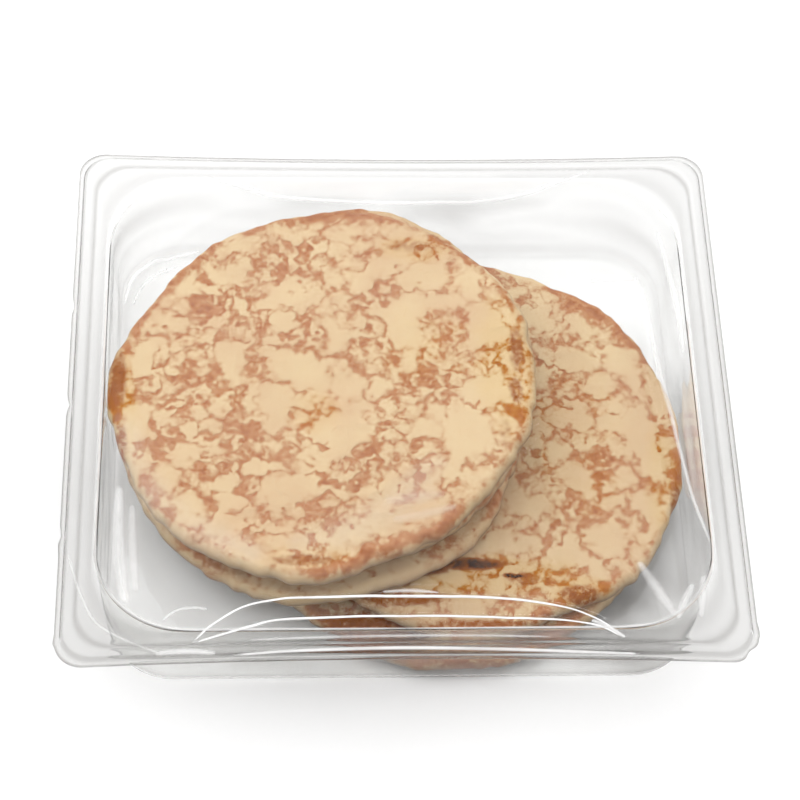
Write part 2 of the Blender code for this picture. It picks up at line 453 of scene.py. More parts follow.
def rounded_rectangle(half_x, half_y, radius, bow=0.0, steps=TRAY_STEPS):
    """Points round a rectangle with arcs for corners; bow draws in the middle of the long sides."""
    corner_steps, side_steps = steps
    turn = np.linspace(0.0, 0.5 * np.pi, corner_steps + 1)
    corners = []
    for quarter, (sx, sy) in enumerate(((1, 1), (-1, 1), (-1, -1), (1, -1))):
        angle = turn + quarter * 0.5 * np.pi
        x = sx * (half_x - radius) + radius * np.cos(angle)
        y = sy * (half_y - radius) + radius * np.sin(angle)
        corners.append(np.stack([x, y], 1))
    outline = []
    for corner, following in zip(corners, corners[1:] + corners[:1]):
        share = np.linspace(0.0, 1.0, side_steps + 1)[1:-1, None]
        outline += [corner, corner[-1] * (1 - share) + following[0] * share]
    outline = np.concatenate(outline)
    drawn_in = bow * (1.0 - (outline[:, 0] / half_x) ** 2)
    outline[:, 1] -= np.sign(outline[:, 1]) * drawn_in * (np.abs(outline[:, 1]) > half_y - 0.6 * radius)
    return outline


def level_ring(outline, z):
    """The outline at one height, or at a height for each of its points."""
    return np.column_stack([outline, np.broadcast_to(z, len(outline))])


def outward_of(outline):
    """The direction away from the middle at each point, of length one."""
    return outline / np.linalg.norm(outline, axis=1, keepdims=True)


def wall_outline(share, offset=0.0, steps=TRAY_STEPS):
    """The wall's outline: share 0 at the floor and 1 at the opening, offset outwards."""
    half_x = FLOOR_HALF_X + share * (OPENING_HALF_X - FLOOR_HALF_X)
    half_y = FLOOR_HALF_Y + share * (OPENING_HALF_Y - FLOOR_HALF_Y)
    radius = FLOOR_RADIUS + share * (OPENING_RADIUS - FLOOR_RADIUS)
    return rounded_rectangle(half_x + offset, half_y + offset, radius + offset, steps=steps)


print("points round the tray:", len(wall_outline(0.0)))

# %% [markdown]
# The cut edge isn't perfect on a real pack. The punch left small nicks on the left side, and a
# pointed tip beside a hollow at the front right corner. Each is a bump or a hollow of about a
# millimetre along the edge, with a bell-shaped outline, and fades out less than two millimetres in.

# %% Tray rim
# Middle x and y, half length, millimetres outwards
EDGE_MARKS = (
    (-95.0, 30.0, 1.6, -0.7),
    (-95.0, -4.0, 1.8, -0.8),
    (-95.0, -46.0, 1.4, -0.6),
    (-95.0, -49.5, 1.4, 0.4),
    (-95.0, -78.5, 1.0, 0.4),
    (95.0, -77.0, 1.3, 0.7),
    (92.6, -83.0, 2.0, -1.2),
)
MARK_FADE = 1.6


def flange_outline(inset, steps=TRAY_STEPS):
    """The rim, inset from its outer edge: its corners open up towards the opening."""
    share = inset / (WIDTH / 2 - OPENING_HALF_X)
    radius = OUTER_RADIUS + (OPENING_RADIUS - OUTER_RADIUS) * share**3
    half_y = DEPTH / 2 - share * (DEPTH / 2 - OPENING_HALF_Y)
    outline = rounded_rectangle(WIDTH / 2 - inset, half_y, radius, SIDE_BOW * (1 - share), steps)
    outward = outward_of(outline)
    for x, y, half_length, out in EDGE_MARKS:
        away = np.hypot(outline[:, 0] - x, outline[:, 1] - y)
        push = out * np.exp(-((away / half_length) ** 2)) * max(0.0, 1 - inset / MARK_FADE)
        outline = outline + outward * push[:, None]
    return outline


# %% [markdown]
# Over its width the rim has a lip that lies lower, a step, and a level seal face with a groove. Clear
# plastic looks grey wherever it turns sharply, because it bends darker parts of the room into view. That
# grey could be left to the light alone, but a sheet this thin needs more of it than its mesh gives, so it
# is painted: every point carries a value for its painted shade and reflection, and the material turns the
# tint grey with it. The floor and the wall get it too, further down.

# %% Rim profile
LIP_DROP = 1.3
LIP_WIDTH = 1.4
LIP_RISE = 0.8
GROOVE_AT = 5.3
GROOVE_HALF = 0.6
GROOVE_DEEP = 0.35
SHOULDER = 1.1
RIM_STEPS = 34
# Painted grey bands: how far in from the edge, half-width, how grey: the cut edge, the step, the groove,
# the shoulder
RIM_BANDS = ((0.0, 0.35, 0.85), (1.9, 0.5, 0.30), (GROOVE_AT, 0.5, 0.50), (8.6, 1.0, 0.16))
# Painted grey all over the rim, and the share added towards the front, where it mirrors the darker room
RIM_GREY = 0.30
RIM_FRONT_GREY = 0.17


def smooth_step(low, high, value):
    """0 at low, 1 at high, and an S curve between them; low may be the larger of the two."""
    share = np.clip((value - low) / (high - low), 0.0, 1.0)
    return share * share * (3 - 2 * share)


def rim_height(inset):
    """The seal face over the inset: low on the lip, a step up, level, and a fine groove."""
    step = smooth_step(LIP_WIDTH, LIP_WIDTH + LIP_RISE, inset)
    groove = np.exp(-(((inset - GROOVE_AT) / GROOVE_HALF) ** 2))
    return HEIGHT - LIP_DROP * (1 - step) - GROOVE_DEEP * groove


def rim_painted_grey(outline, inset):
    """How much grey is painted on the rim for its shade and reflections: a bell curve for each band, and
    more towards the front, where it mirrors the darker room."""
    bands = sum(grey * np.exp(-(((inset - at) / half) ** 2)) for at, half, grey in RIM_BANDS)
    return bands + RIM_GREY + RIM_FRONT_GREY * (0.5 - outline[:, 1] / DEPTH)


rim_insets = np.linspace(WIDTH / 2 - OPENING_HALF_X - SHOULDER - 0.2, 0.0, RIM_STEPS)
print("rim rings:", len(rim_insets), "lowest, mm:", round(float(rim_height(rim_insets).min()), 2))

# %% [markdown]
# Formed sheet is never quite flat: the wall ripples where it cooled unevenly, and the floor has a slight
# crown. The ripples go outwards only, so that the wall stays clear of the blinis. Grey is painted on the
# floor and the wall as well, as shade and reflection: most in the front right corner, and more on the
# fillet and where the wall ripples.

# %% Tray body
TRAY_WALL = 0.5
FLOOR_FILLET = 3.0
WALL_RIPPLE = 0.28
FLOOR_RIPPLE = 0.10
WALL_RINGS = 14
ROUND_TURNS = np.radians(np.linspace(0.0, 90.0, 9))
FLOOR_SHARES = np.linspace(0.06, 0.94, 16)
# Painted grey, for shade and reflection: the flat floor, its cloudiness, the front right corner, the
# fillet, the wall and its ripples, the shoulder
FLOOR_GREY = 0.03
CLOUD_GREY = 0.03
CORNER_GREY = 0.50
FILLET_GREY = 0.24
WALL_GREY = 0.10
RIPPLE_GREY = 0.6
SHOULDER_GREY = 0.06
# Middle x and y of the corner with painted shade, half-sizes along x and y
DARK_CORNER = (66.0, -54.0, 20.0, 22.0)


def wall_ripple(outline, share):
    """How far the wall stands out: soft waves that fade at the floor and at the shoulder."""
    along = np.arctan2(outline[:, 1], outline[:, 0]) * 80.0
    wave = soft_noise(along / 3.0, np.full(len(along), 30.0 * share), 9.0, 31)
    fine = soft_noise(along / 3.0, np.full(len(along), 20.0 * share), 3.5, 32)
    return WALL_RIPPLE * np.abs(0.8 * wave + 0.3 * fine) * np.sin(np.pi * share)


def corner_shade(outline):
    """How much grey is painted on the floor and the wall: painted shade in the front right corner, and a
    little cloudy.
    """
    x, y = outline[:, 0], outline[:, 1]
    middle_x, middle_y, half_x, half_y = DARK_CORNER
    corner = np.exp(-(((x - middle_x) / half_x) ** 2) - (((y - middle_y) / half_y) ** 2))
    corner = corner * (1 + 0.3 * soft_noise(x, y, 7.0, 35))
    return FLOOR_GREY + CLOUD_GREY * np.abs(soft_noise(x, y, 16.0, 34)) + CORNER_GREY * corner


def floor_rings(offset):
    """The floor from near its middle outwards, with its crown, and then the fillet, each ring with its
    painted grey. The fillet takes its painted grey from the floor's last ring, and more as it turns."""
    lowest = TRAY_WALL - offset
    rings, painted_greys = [], []
    for share in FLOOR_SHARES:
        outline = wall_outline(0.0, offset - FLOOR_FILLET) * share
        crown = FLOOR_RIPPLE * (1 + soft_noise(outline[:, 0], outline[:, 1], 14.0, 33)) * (1 - share**4)
        rings.append(level_ring(outline, lowest + np.clip(crown, 0.0, None)))
        painted_greys.append(corner_shade(outline))
    for turn in ROUND_TURNS:
        outline = wall_outline(0.0, offset - FLOOR_FILLET * (1 - np.sin(turn)))
        rings.append(level_ring(outline, lowest + FLOOR_FILLET * (1 - np.cos(turn))))
        painted_greys.append(painted_greys[len(FLOOR_SHARES) - 1] + FILLET_GREY * np.sin(turn))
    return rings, painted_greys


def wall_rings(offset):
    """The wall from the fillet to the shoulder, standing out with its ripples, with painted grey that grows
    with them.
    """
    low = TRAY_WALL - offset + FLOOR_FILLET
    high = HEIGHT - offset - SHOULDER
    rings, painted_greys = [], []
    for share in np.linspace(0.0, 1.0, WALL_RINGS + 2)[1:-1]:
        outline = wall_outline(share, offset)
        ripple = wall_ripple(outline, share)
        rippled = outline + outward_of(outline) * ripple[:, None]
        rings.append(level_ring(rippled, low + share * (high - low)))
        painted_greys.append(WALL_GREY + corner_shade(outline) + RIPPLE_GREY * ripple)
    return rings, painted_greys


def edge_rings(offset):
    """The round shoulder, and the rim out to its edge, each ring with its painted grey."""
    rings, painted_greys = [], []
    for turn in ROUND_TURNS:
        outline = wall_outline(1.0, offset * np.cos(turn) + SHOULDER * (1 - np.cos(turn)))
        rings.append(level_ring(outline, HEIGHT - offset - SHOULDER + SHOULDER * np.sin(turn)))
        painted_greys.append(np.full(len(outline), WALL_GREY + SHOULDER_GREY * np.cos(turn)))
    for inset in rim_insets:
        outline = flange_outline(inset)
        rings.append(level_ring(outline, rim_height(inset + 0.4 * offset) - offset))
        painted_greys.append(rim_painted_grey(outline, inset))
    return rings, painted_greys


def tray_face(offset):
    """One face of the sheet from the middle of the floor to the lip: offset 0 inside, the wall's thickness
    outside. Gives its rings and the grey painted on each point."""
    parts = (floor_rings(offset), wall_rings(offset), edge_rings(offset))
    return sum((rings for rings, _ in parts), []), sum((painted_greys for _, painted_greys in parts), [])


outer_rings, outer_painted_greys = tray_face(TRAY_WALL)
inner_rings, inner_painted_greys = tray_face(0.0)
middles = np.full(2, 0.04)
painted_greys = np.concatenate(outer_painted_greys + inner_painted_greys[::-1] + [middles])
tray_rings = np.array(outer_rings + inner_rings[::-1])
tray = body_of_rings("clear_tray", tray_rings, {"painted_grey": np.clip(painted_greys, 0.0, 1.0)})
print("tray points:", len(tray.data.vertices), "greyest:", round(float(painted_greys.max()), 2))

# %% [markdown]
# ## How the blinis lie
# A blini is limp: it lies on what is under it and bends down over an edge. A height map holds what
# carries it. Each point of the map holds up a shallow dome, and the blini follows the highest of
# them, which is the grey dilation of image work with a dome for its brush. It costs two passes of
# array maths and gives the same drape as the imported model, where a cloth simulation would not.

# %% Height map
# In millimetres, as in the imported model; the sag radius is the tightest bend of a blini
GAP = 0.4
THICK = 6.3
EDGE_ROUND = 2.8
SAG_RADIUS = 260.0
LUMP = 0.22
OUTLINE_WAVE = 0.35
SEED = 7
FIELD_STEP = 0.75
FIELD_X = np.arange(-96.0, 96.1, FIELD_STEP)
FIELD_Y = np.arange(-87.0, 87.1, FIELD_STEP)
GRID_X, GRID_Y = np.meshgrid(FIELD_X, FIELD_Y, indexing="ij")


def height_at(field, x, y):
    """A height map's value at places in millimetres."""
    return smooth_at(field, (x - FIELD_X[0]) / FIELD_STEP, (y - FIELD_Y[0]) / FIELD_STEP)


def drape(support):
    """The highest of the domes that every point of the support holds up: first along x, then y."""
    drop_x = (FIELD_X[:, None] - FIELD_X[None, :]) ** 2 / (2 * SAG_RADIUS)
    drop_y = (FIELD_Y[:, None] - FIELD_Y[None, :]) ** 2 / (2 * SAG_RADIUS)
    held = np.stack([(support - drop[:, None]).max(0) for drop in drop_x])
    return np.stack([(held - drop[None, :]).max(1) for drop in drop_y], 1)


print("height map:", GRID_X.shape)

# %% [markdown]
# ## The baked top
# A blini browns where it touches the pan, and stays pale where steam lifts it off. Steam gathers in bubbles
# of all sizes, so the pale islands pack like foam, and what is left between them is a lace of brown. So the
# lace is worked out as foam. The large islands, the clumps of small ones and a few strong lines are listed
# one by one, and the rest is thrown where there is room.

# %% Lace tables
# All in millimetres from a blini's middle. Large pale islands: x, y, half-sizes along x and y
LARGE_ISLANDS = {
    "blini_left_upper": (
        (-27, 48, 7, 3.5), (-8, 54, 9, 3.5), (8, 53, 8, 3), (-25.5, 37.5, 5.5, 3.2), (-39, 35, 5, 5),
        (-14.5, 29.5, 4.2, 5.5), (-5, 28, 4.5, 3), (4.5, 36, 3.2, 3.8), (11, 35, 3.6, 4), (3.5, 46, 3, 2.5),
        (-7, 46.5, 2.5, 2.5), (19, 40, 6, 5), (33, 38, 8, 5.5), (43, 35, 5, 6), (24, 21, 6, 8.5),
        (37, 27, 5, 3.4), (48, 19, 6, 8), (35, 8, 4, 3), (25, 7, 2.8, 4), (50, -2, 4.5, 8),
        (42, -19, 7.5, 9), (43, -31, 4, 4), (6, 15, 5.2, 3.6), (-3, 14.5, 2.3, 2.2), (-11.5, 19, 4, 1.8),
        (-12.5, 14.5, 3, 1.6), (-6, 4, 10, 6.5), (8, 0, 6, 7), (6, -17, 8, 7), (-11, -7, 7, 7),
        (-1, -12, 8, 7), (-26, 8, 5, 8), (-25, 18, 2.5, 3), (-42, 20, 3.5, 4), (-52, 7, 4, 6),
        (-54, -14, 3.2, 8), (-40, 14, 2.4, 2.4), (-44, -31, 5, 5), (-37, -40, 5, 5), (-28, -48, 5, 4),
        (-39, -24, 4, 3.5), (-26, -33, 2.8, 3.2), (-11, -36, 5.5, 3.8), (-14, -43, 4, 2.5),
        (-10, -52, 8, 2.6), (5, -50, 7, 3), (19, -45, 7, 4), (29, -42, 6, 5), (30, -33, 3, 4),
        (29, -17, 3, 3),
    ),
    "blini_right_upper": (
        (38, 42, 8, 5), (47, 27, 6, 7), (31, 29, 5, 3.6), (33, 8, 4, 5), (25, 8, 3, 3), (42, 5, 5, 4),
        (50, 3, 5, 8), (52, -9, 5, 6), (44, -13, 4, 4), (50, -22, 5, 5), (15, -22, 6, 5), (8, -35, 10, 5),
        (26, -39, 7, 4.5), (36, -34, 6, 6), (30, -12, 5, 4), (24, -3, 3.6, 4), (55, 15, 3, 8),
        (40, 20, 5, 4), (20, 43, 5, 4), (20, -50, 6, 3), (50, -33, 4, 4), (42, -44, 5, 3),
    ),
}
# Where small islands crowd and the brown gathers: x, y, half-sizes along x and y
CLUMPS = {
    "blini_left_upper": (
        (-13, 42, 12, 6), (-4, 38, 8, 5), (3, 43, 6, 4), (-28, 28, 9, 4), (-36, 23, 5, 7), (-36, 14, 6, 6),
        (-44, 0, 11, 5), (-42, -8, 11, 5), (-45, -16, 5, 5), (-33, -2, 7, 7), (-30, -18, 10, 5),
        (-24, -26, 9, 6), (-22, -38, 6, 8), (-15, -25, 8, 3), (-24, -5, 4, 6), (-6, 17, 5, 4),
        (16, 18, 5, 7), (17, 6, 5, 8), (12, 28, 6, 4), (35, 17, 6, 5), (35, 2, 7, 5),
        (37, -6, 6, 5), (22, -6, 6, 5),
        (18, -19, 10, 6), (26, -27, 7, 7), (13, -27, 8, 5), (2, -36, 5, 6), (20, -33, 6, 4),
        (10, -46, 8, 3), (0, -43, 8, 3), (-14, -49, 8, 2.5), (39, -36, 5, 4),
    ),
    "blini_right_upper": (
        (27, 25, 8, 6), (27, 36, 6, 4), (32, 13, 7, 3), (24, 3, 3, 8), (22, 13, 4, 5), (38, -5, 8, 5),
        (35, 0, 6, 4), (33, -24, 8, 5), (42, -21, 6, 6), (20, -15, 6, 6), (20, -29, 8, 4), (16, -6, 4, 6),
        (22, -34, 4, 4), (48, -40, 6, 4), (58, -22, 3, 8), (12, -44, 6, 2), (20, 34, 6, 5),
    ),
}
# Strong brown lines: points of the path and its half-width
STROKES = {
    "blini_left_upper": (
        (((-31, 41), (-25, 43), (-20, 46), (-18, 49), (-15.5, 48), (-15.5, 45), (-18, 44)), 0.45),
        (((0, 10), (4, 9), (8, 7.5), (11, 5)), 1.1),
        (((-10, 11), (-5, 12), (0, 10.5)), 0.5),
        (((30, 21), (36, 20.5), (40, 21), (42, 25)), 0.5),
        (((28, 11), (35, 10), (44, 11), (50, 10), (55, 12)), 0.5),
        (((44, 11), (43, 5), (46, 2)), 0.45),
        (((29, 11), (29, 5), (32, 2)), 0.6),
        (((3, -5), (0, -7), (-3, -10), (-8, -9.5)), 0.4),
        (((4, -9), (0, -11), (-4, -9.5)), 0.35),
        (((-1, -11), (-3, -15), (-7, -17)), 0.35),
        (((-21, -14), (-15, -18), (-8, -21)), 0.4),
        (((-15, -24), (-10, -26), (-4, -27)), 0.8),
        (((2, -27.5), (8, -26), (12, -21)), 0.5),
        (((-40, 0), (-30, -1), (-24, -4), (-24, -10)), 0.8),
        (((-20, 4), (-19, 10), (-18, 18), (-21, 22)), 0.5),
    ),
}

# %% [markdown]
# The small islands are thrown at random. A throw stays where it has room between those before it,
# and inside a clump it asks for less room, so that small ones crowd there.

# %% Packed islands
ISLAND_REACH = 66.0
ISLAND_ROOM = 0.78
ISLAND_THROWS = 9000
# Radius that a throw wishes for, and how much larger the largest is, inside a clump and outside
CROWDED_WISH = (1.35, 1.1)
LOOSE_WISH = (2.3, 2.6)


def ellipse_away(x, y, ellipse):
    """About how far a point lies outside an ellipse: the share of its half-sizes, less one, times
    their geometric mean."""
    middle_x, middle_y, half_x, half_y = ellipse
    return (np.hypot((x - middle_x) / half_x, (y - middle_y) / half_y) - 1) * np.sqrt(half_x * half_y)


def crowding(x, y, name):
    """1 inside a clump of small islands, falling to 0 round it."""
    found = np.zeros(np.shape(x))
    for at_x, at_y, half_x, half_y in CLUMPS.get(name, ()):
        away = np.hypot((x - at_x) / half_x, (y - at_y) / half_y)
        found = np.maximum(found, 1 - smooth_step(0.55, 1.25, away))
    return found


def packed_islands(name, seed):
    """Ellipses: the large ones of this blini, and then each throw that has room between those before
    it, wished small inside a clump and larger outside."""
    rng = np.random.default_rng(seed)
    islands = np.array(LARGE_ISLANDS.get(name, ((0.0, 0.0, 3.0, 3.0),)), float)
    spots = rng.uniform(-ISLAND_REACH, ISLAND_REACH, (ISLAND_THROWS, 2))
    crowded = crowding(spots[:, 0], spots[:, 1], name)
    draw = rng.uniform(0, 1, ISLAND_THROWS) ** 2
    small = CROWDED_WISH[0] + CROWDED_WISH[1] * draw
    large = LOOSE_WISH[0] + LOOSE_WISH[1] * draw
    wishes = small * crowded + large * (1 - crowded)
    stretches = rng.uniform(0.8, 1.25, ISLAND_THROWS)
    for spot, wish, stretch in zip(spots, wishes, stretches):
        if ellipse_away(spot[0], spot[1], islands.T).min() > ISLAND_ROOM * wish:
            islands = np.vstack([islands, (spot[0], spot[1], wish * stretch, wish / stretch)])
    return islands


print("islands of the top blini:", len(packed_islands("blini_left_upper", 4005)))

# %% [markdown]
# The lace is what lies close to the border between the two nearest islands, as the walls of foam do.
# Where three islands meet it is thicker. Some pairs of islands have merged, so their border is gone.


# %% Foam
# How far the border of a merged pair is pushed away, in millimetres
MERGED_PUSH = 2.2


def foam(x, y, islands, merged):
    """Distances to the border of the two nearest islands and to the corner where three meet. The
    border of a merged pair is pushed out of reach, except near its corners."""
    first = np.full(x.shape, 1e3)
    second, third = first.copy(), first.copy()
    who, other = np.zeros(x.shape), np.zeros(x.shape)
    for number, island in enumerate(islands):
        away = ellipse_away(x, y, island)
        nearer = away < first
        runner_up = (away < second) & ~nearer
        third = np.where(nearer | runner_up, second, np.minimum(third, away))
        other = np.where(nearer, who, np.where(runner_up, number, other))
        second = np.where(nearer, first, np.where(runner_up, away, second))
        who = np.where(nearer, number, who)
        first = np.minimum(first, away)
    low, high = np.minimum(who, other), np.maximum(who, other)
    pair_draw = np.abs(np.sin(low * 12.9898 + high * 78.233) * 43758.5453) % 1.0
    border, corner = 0.5 * (second - first), 0.5 * (third - first)
    return border + MERGED_PUSH * (pair_draw < merged) * smooth_step(0.2, 1.4, corner), corner


def to_segment(x, y, begin, end):
    """How far a point lies from a straight piece of a path, and where along the piece it is nearest."""
    run = end - begin
    share = np.clip(((x - begin[0]) * run[0] + (y - begin[1]) * run[1]) / (run @ run), 0, 1)
    return np.hypot(x - begin[0] - share * run[0], y - begin[1] - share * run[1]), share


def stroke_depth(x, y, strokes):
    """How deep a point lies inside the nearest stroke: its half-width less the distance to its path."""
    found = np.full(x.shape, -9.0)
    for path, half_width in strokes:
        for begin, end in zip(np.array(path, float), np.array(path[1:], float)):
            found = np.maximum(found, half_width - to_segment(x, y, begin, end)[0])
    return found


# %% [markdown]
# A line of browned batter is neither smooth nor even. So the place is shaken by soft noise of three
# sizes before the foam is read, and the width of the lace changes with soft noise too.

# %% Lace
# Size of the swellings in mm, how far they shake in mm, and the two seeds along x and y
SHAKES = ((5.0, 0.40, 1, 3), (2.6, 0.55, 2, 4), (1.3, 0.42, 6, 7))
MERGED_SHARE = 0.26
# The lace's width, what clumps and noise add to it, and how fast it thins away from a border
LACE_WIDTH = 0.10
CLUMP_WIDTH = 0.28
BROAD_SWELL = 0.22
FINE_SWELL = 0.27
BORDER_WEIGHT = 0.85
# What a corner of the foam adds, and how much thinner the strokes are than their half-width
KNOT_WIDTH = 0.42
STROKE_THINNER = 0.12
# The middle of the top blini stays pale: x, y, radius, how much narrower the lace is there
PALE_MIDDLE = (-1.0, -6.0, 14.5, 0.75)


def shaken(x, y, seed):
    """The place with soft noise of three sizes added to it."""
    shaken_x, shaken_y = x, y
    for cell, far, seed_x, seed_y in SHAKES:
        shaken_x = shaken_x + far * soft_noise(x, y, cell, seed + seed_x)
        shaken_y = shaken_y + far * soft_noise(x, y, cell, seed + seed_y)
    return shaken_x, shaken_y


def lace(x, y, name, number):
    """How deep a point lies inside the brown lace, in millimetres, below zero outside it: the lace's
    width there, less the distance to the border, and more at a corner of the foam."""
    seed = 1000 * number
    shaken_x, shaken_y = shaken(x, y, seed)
    border, corner = foam(shaken_x, shaken_y, packed_islands(name, seed + 5), MERGED_SHARE)
    swell = FINE_SWELL * soft_noise(x, y, 3.2, 200 + number)
    width = LACE_WIDTH + CLUMP_WIDTH * crowding(shaken_x, shaken_y, name) + swell
    width = width + BROAD_SWELL * soft_noise(x, y, 7.0, 100 + number)
    if name == "blini_left_upper":
        middle_x, middle_y, radius, narrower = PALE_MIDDLE
        width -= narrower * np.exp(-((np.hypot(x - middle_x, y - middle_y) / radius) ** 6))
    depth = width - BORDER_WEIGHT * border + KNOT_WIDTH * np.exp(-(corner**2))
    strokes = stroke_depth(shaken_x, shaken_y, STROKES.get(name, ()))
    return np.maximum(depth, strokes + swell - STROKE_THINNER)


# %% [markdown]
# ## The blinis
# Five blinis, from the lowest to the highest, with the places, radii and random draws of the packed model.
# They could be flat discs stacked up, but a poured pancake is never quite round, and a limp one never flat.
# The tables give each one's outline, the patches that the film wets, and the patches where the crust
# darkens, in part as painted shade.

# %% Blini table
# Name, centre x and y, radius, how much longer one axis is and its angle, third-order swelling and
# its angle; from the lowest to the highest
BLINIS = (
    ("blini_right_lower", 15.0, -12.0, 60.8, 0.3, 0.0, 0.4, 250.0),
    ("blini_right_upper", 22.2, -3.4, 62.5, 0.6, 80.0, 0.5, 215.0),
    ("blini_left_lower", -22.5, 2.0, 60.0, 0.8, 60.0, 0.5, 235.0),
    ("blini_left_middle", -19.5, 10.2, 60.3, 1.6, 62.0, 0.4, 70.0),
    ("blini_left_upper", -22.6, 4.0, 61.7, 2.6, 45.0, 0.5, 245.0),
)
# Flat sides of the left pile, by the blini's number: direction in degrees, millimetres, half-width
FLAT_SIDES = {
    2: ((222.0, 1.8, 22.0),),
    3: ((222.0, 1.4, 20.0),),
    4: ((150.0, 2.0, 17.0), (222.0, 2.8, 20.0)),
}
# Bites of the edge: size of the swellings in mm, depth in mm, first seed
BITES = ((6.0, 0.20, 600), (2.6, 0.16, 650))
# Patches of a blini's top, in millimetres from its middle: x, y, half-sizes along x and y, strength
WET = {
    "blini_left_upper": (
        (-2.0, -10.0, 9.0, 9.0, 0.65), (54.0, 6.0, 12.0, 28.0, 0.9), (-58.0, -8.0, 6.0, 24.0, 1.0),
        (30.0, 12.0, 18.0, 18.0, 0.45), (-3.0, -56.0, 16.0, 5.0, 0.6), (28.0, 47.0, 14.0, 6.0, 0.7),
    ),
    "blini_right_upper": (
        (0.0, -45.0, 34.0, 8.0, 0.9), (28.0, -50.0, 12.0, 6.0, 0.9), (56.0, -16.0, 8.0, 24.0, 0.7),
        (30.0, 0.0, 22.0, 40.0, 0.4),
    ),
    "blini_right_lower": ((0.0, -58.0, 50.0, 10.0, 0.9),),
}
# Patches where the crust darkens: deep brown up to half strength, and near black above it. The large patch
# on the lower right blini's front, where the left pile overhangs it, is painted shade as well as browning.
DARK_PATCHES = {
    "blini_left_upper": (
        (-58.5, 2.0, 3.0, 12.0, 0.44), (-57.5, -20.0, 3.0, 8.0, 0.40), (57.0, 11.0, 3.0, 9.0, 0.34),
        (56.0, -3.0, 2.6, 6.0, 0.34), (52.0, -17.0, 2.2, 6.0, 0.22), (-6.0, -57.5, 12.0, 2.2, 0.30),
        (27.0, 48.0, 9.0, 2.6, 0.24), (-34.0, -50.0, 6.0, 2.0, 0.2), (16.0, -55.0, 8.0, 1.6, 0.2),
    ),
    "blini_right_upper": (
        (-25.0, -42.2, 17.0, 3.2, 1.25), (-4.0, -41.2, 13.0, 2.2, 0.82), (9.5, -45.0, 3.8, 0.9, 0.95),
        (12.0, -46.0, 6.0, 3.0, 0.3), (28.0, -51.0, 7.0, 3.4, 0.42), (58.5, -22.0, 2.6, 9.0, 0.36),
        (-22.0, -52.0, 16.0, 3.4, 0.36), (0.0, -60.5, 26.0, 2.2, 0.34),
    ),
    "blini_right_lower": ((-22.0, -50.0, 22.0, 8.0, 0.5), (2.0, -59.5, 16.0, 2.0, 0.4)),
    "blini_left_lower": ((-30.0, -50.0, 30.0, 4.0, 0.2),),
}
print("blinis from the lowest up:", [blini[0] for blini in BLINIS])


# %% Outline, lumps and patches
def outline_radius(angle, blini, waves):
    """A circle, a long axis, a third-order swelling and small seeded waves."""
    _, _, _, radius, longer, long_angle, swelling, swelling_angle = blini
    found = radius + longer * np.cos(2 * (angle - np.radians(long_angle)))
    found = found + swelling * np.cos(3 * (angle - np.radians(swelling_angle)))
    for order, (size, phase) in enumerate(waves, 4):
        found = found + OUTLINE_WAVE * size * np.cos(order * angle + phase)
    return found


def scallops(angle, number):
    """Small uneven bites of the edge, a few tenths of a millimetre deep, less a bell curve for each
    flat side."""
    x, y = 60 * np.cos(angle), 60 * np.sin(angle)
    found = sum(deep * soft_noise(x, y, cell, seed + number) for cell, deep, seed in BITES)
    for direction, deep, half_width in FLAT_SIDES.get(number, ()):
        off = np.degrees(np.angle(np.exp(1j * (angle - np.radians(direction)))))
        found -= deep * np.exp(-((off / half_width) ** 2))
    return found


def lumps(x, y, phases):
    """Low swellings of the top: a few crossed sine waves with seeded phases."""
    low = np.sin(x / 7.0 + phases[0]) * np.sin(y / 8.5 + phases[1])
    lower = np.sin((x + y) / 15.0 + phases[2]) * np.sin((x - y) / 12.0 + phases[3])
    return LUMP * (0.5 * low + 0.5 * lower)


def patches(x, y, table):
    """The strength of the nearest patch in its middle, falling to 0 at its border."""
    found = np.zeros_like(x)
    for at_x, at_y, half_x, half_y, strength in table:
        away = np.hypot((x - at_x) / half_x, (y - at_y) / half_y)
        found = np.maximum(found, strength * (1 - smooth_step(0.4, 1.25, away)))
    return found


# %% [markdown]
# The batter is thinnest along the edge and browns there first, in a band that comes and goes. A ring
# of one width would look drawn with a pen, so soft noise lifts and lowers it round the edge.

# %% Edge browning
# How far each blini's edge is browned, from the lowest blini to the highest
EDGE_BROWN = (0.20, 0.15, -0.60, -0.45, 0.10)
BAND_UNEVEN = 0.95
# Millimetres from the edge to the band's middle, and how fast the browning falls off beside it
BAND_MIDDLE = 1.8
BAND_FALL = 0.6


def edge_browning(x, y, from_edge, number):
    """How deep a point lies in the browned band along the edge: soft noise round the edge, less the
    distance to the band's middle, with a frayed border."""
    angle = np.arctan2(y, x)
    round_edge = soft_noise(40 * np.cos(angle), 40 * np.sin(angle), 9.0, 300 + number)
    band = EDGE_BROWN[number] + BAND_UNEVEN * round_edge
    fray = 0.5 * soft_noise(x, y, 2.6, 400 + number) + 0.3 * soft_noise(x, y, 1.3, 450 + number)
    return band - BAND_FALL * np.abs(from_edge - BAND_MIDDLE) + fray


print("edges browned most to least:", np.argsort(EDGE_BROWN)[::-1].tolist())


# %% [markdown]
# The top of a blini is a bent square grid. Its height is what carries the blini, its thickness and
# its lumps, less the dimples that steam left and the low relief of the lace.

# %% Blini top
# Points along a side of the grid, for a blini whose top shows and for one that is covered
FINE_GRID = 281
PLAIN_GRID = 171
# Depth of the lace's relief and of the dimples, in millimetres
RELIEF = 0.12
DIMPLE = 0.16
# How much thinner the lace is on the pale rim of the top
RIM_THINNER = 0.35


def side_press(x, y, z):
    """A side that meets the wall is pressed flat against it."""
    share = np.clip(z / HEIGHT, 0, 1)
    wall_x = FLOOR_HALF_X + share * (OPENING_HALF_X - FLOOR_HALF_X) - GAP
    wall_y = FLOOR_HALF_Y + share * (OPENING_HALF_Y - FLOOR_HALF_Y) - GAP
    return np.clip(x, -wall_x, wall_x), np.clip(y, -wall_y, wall_y)


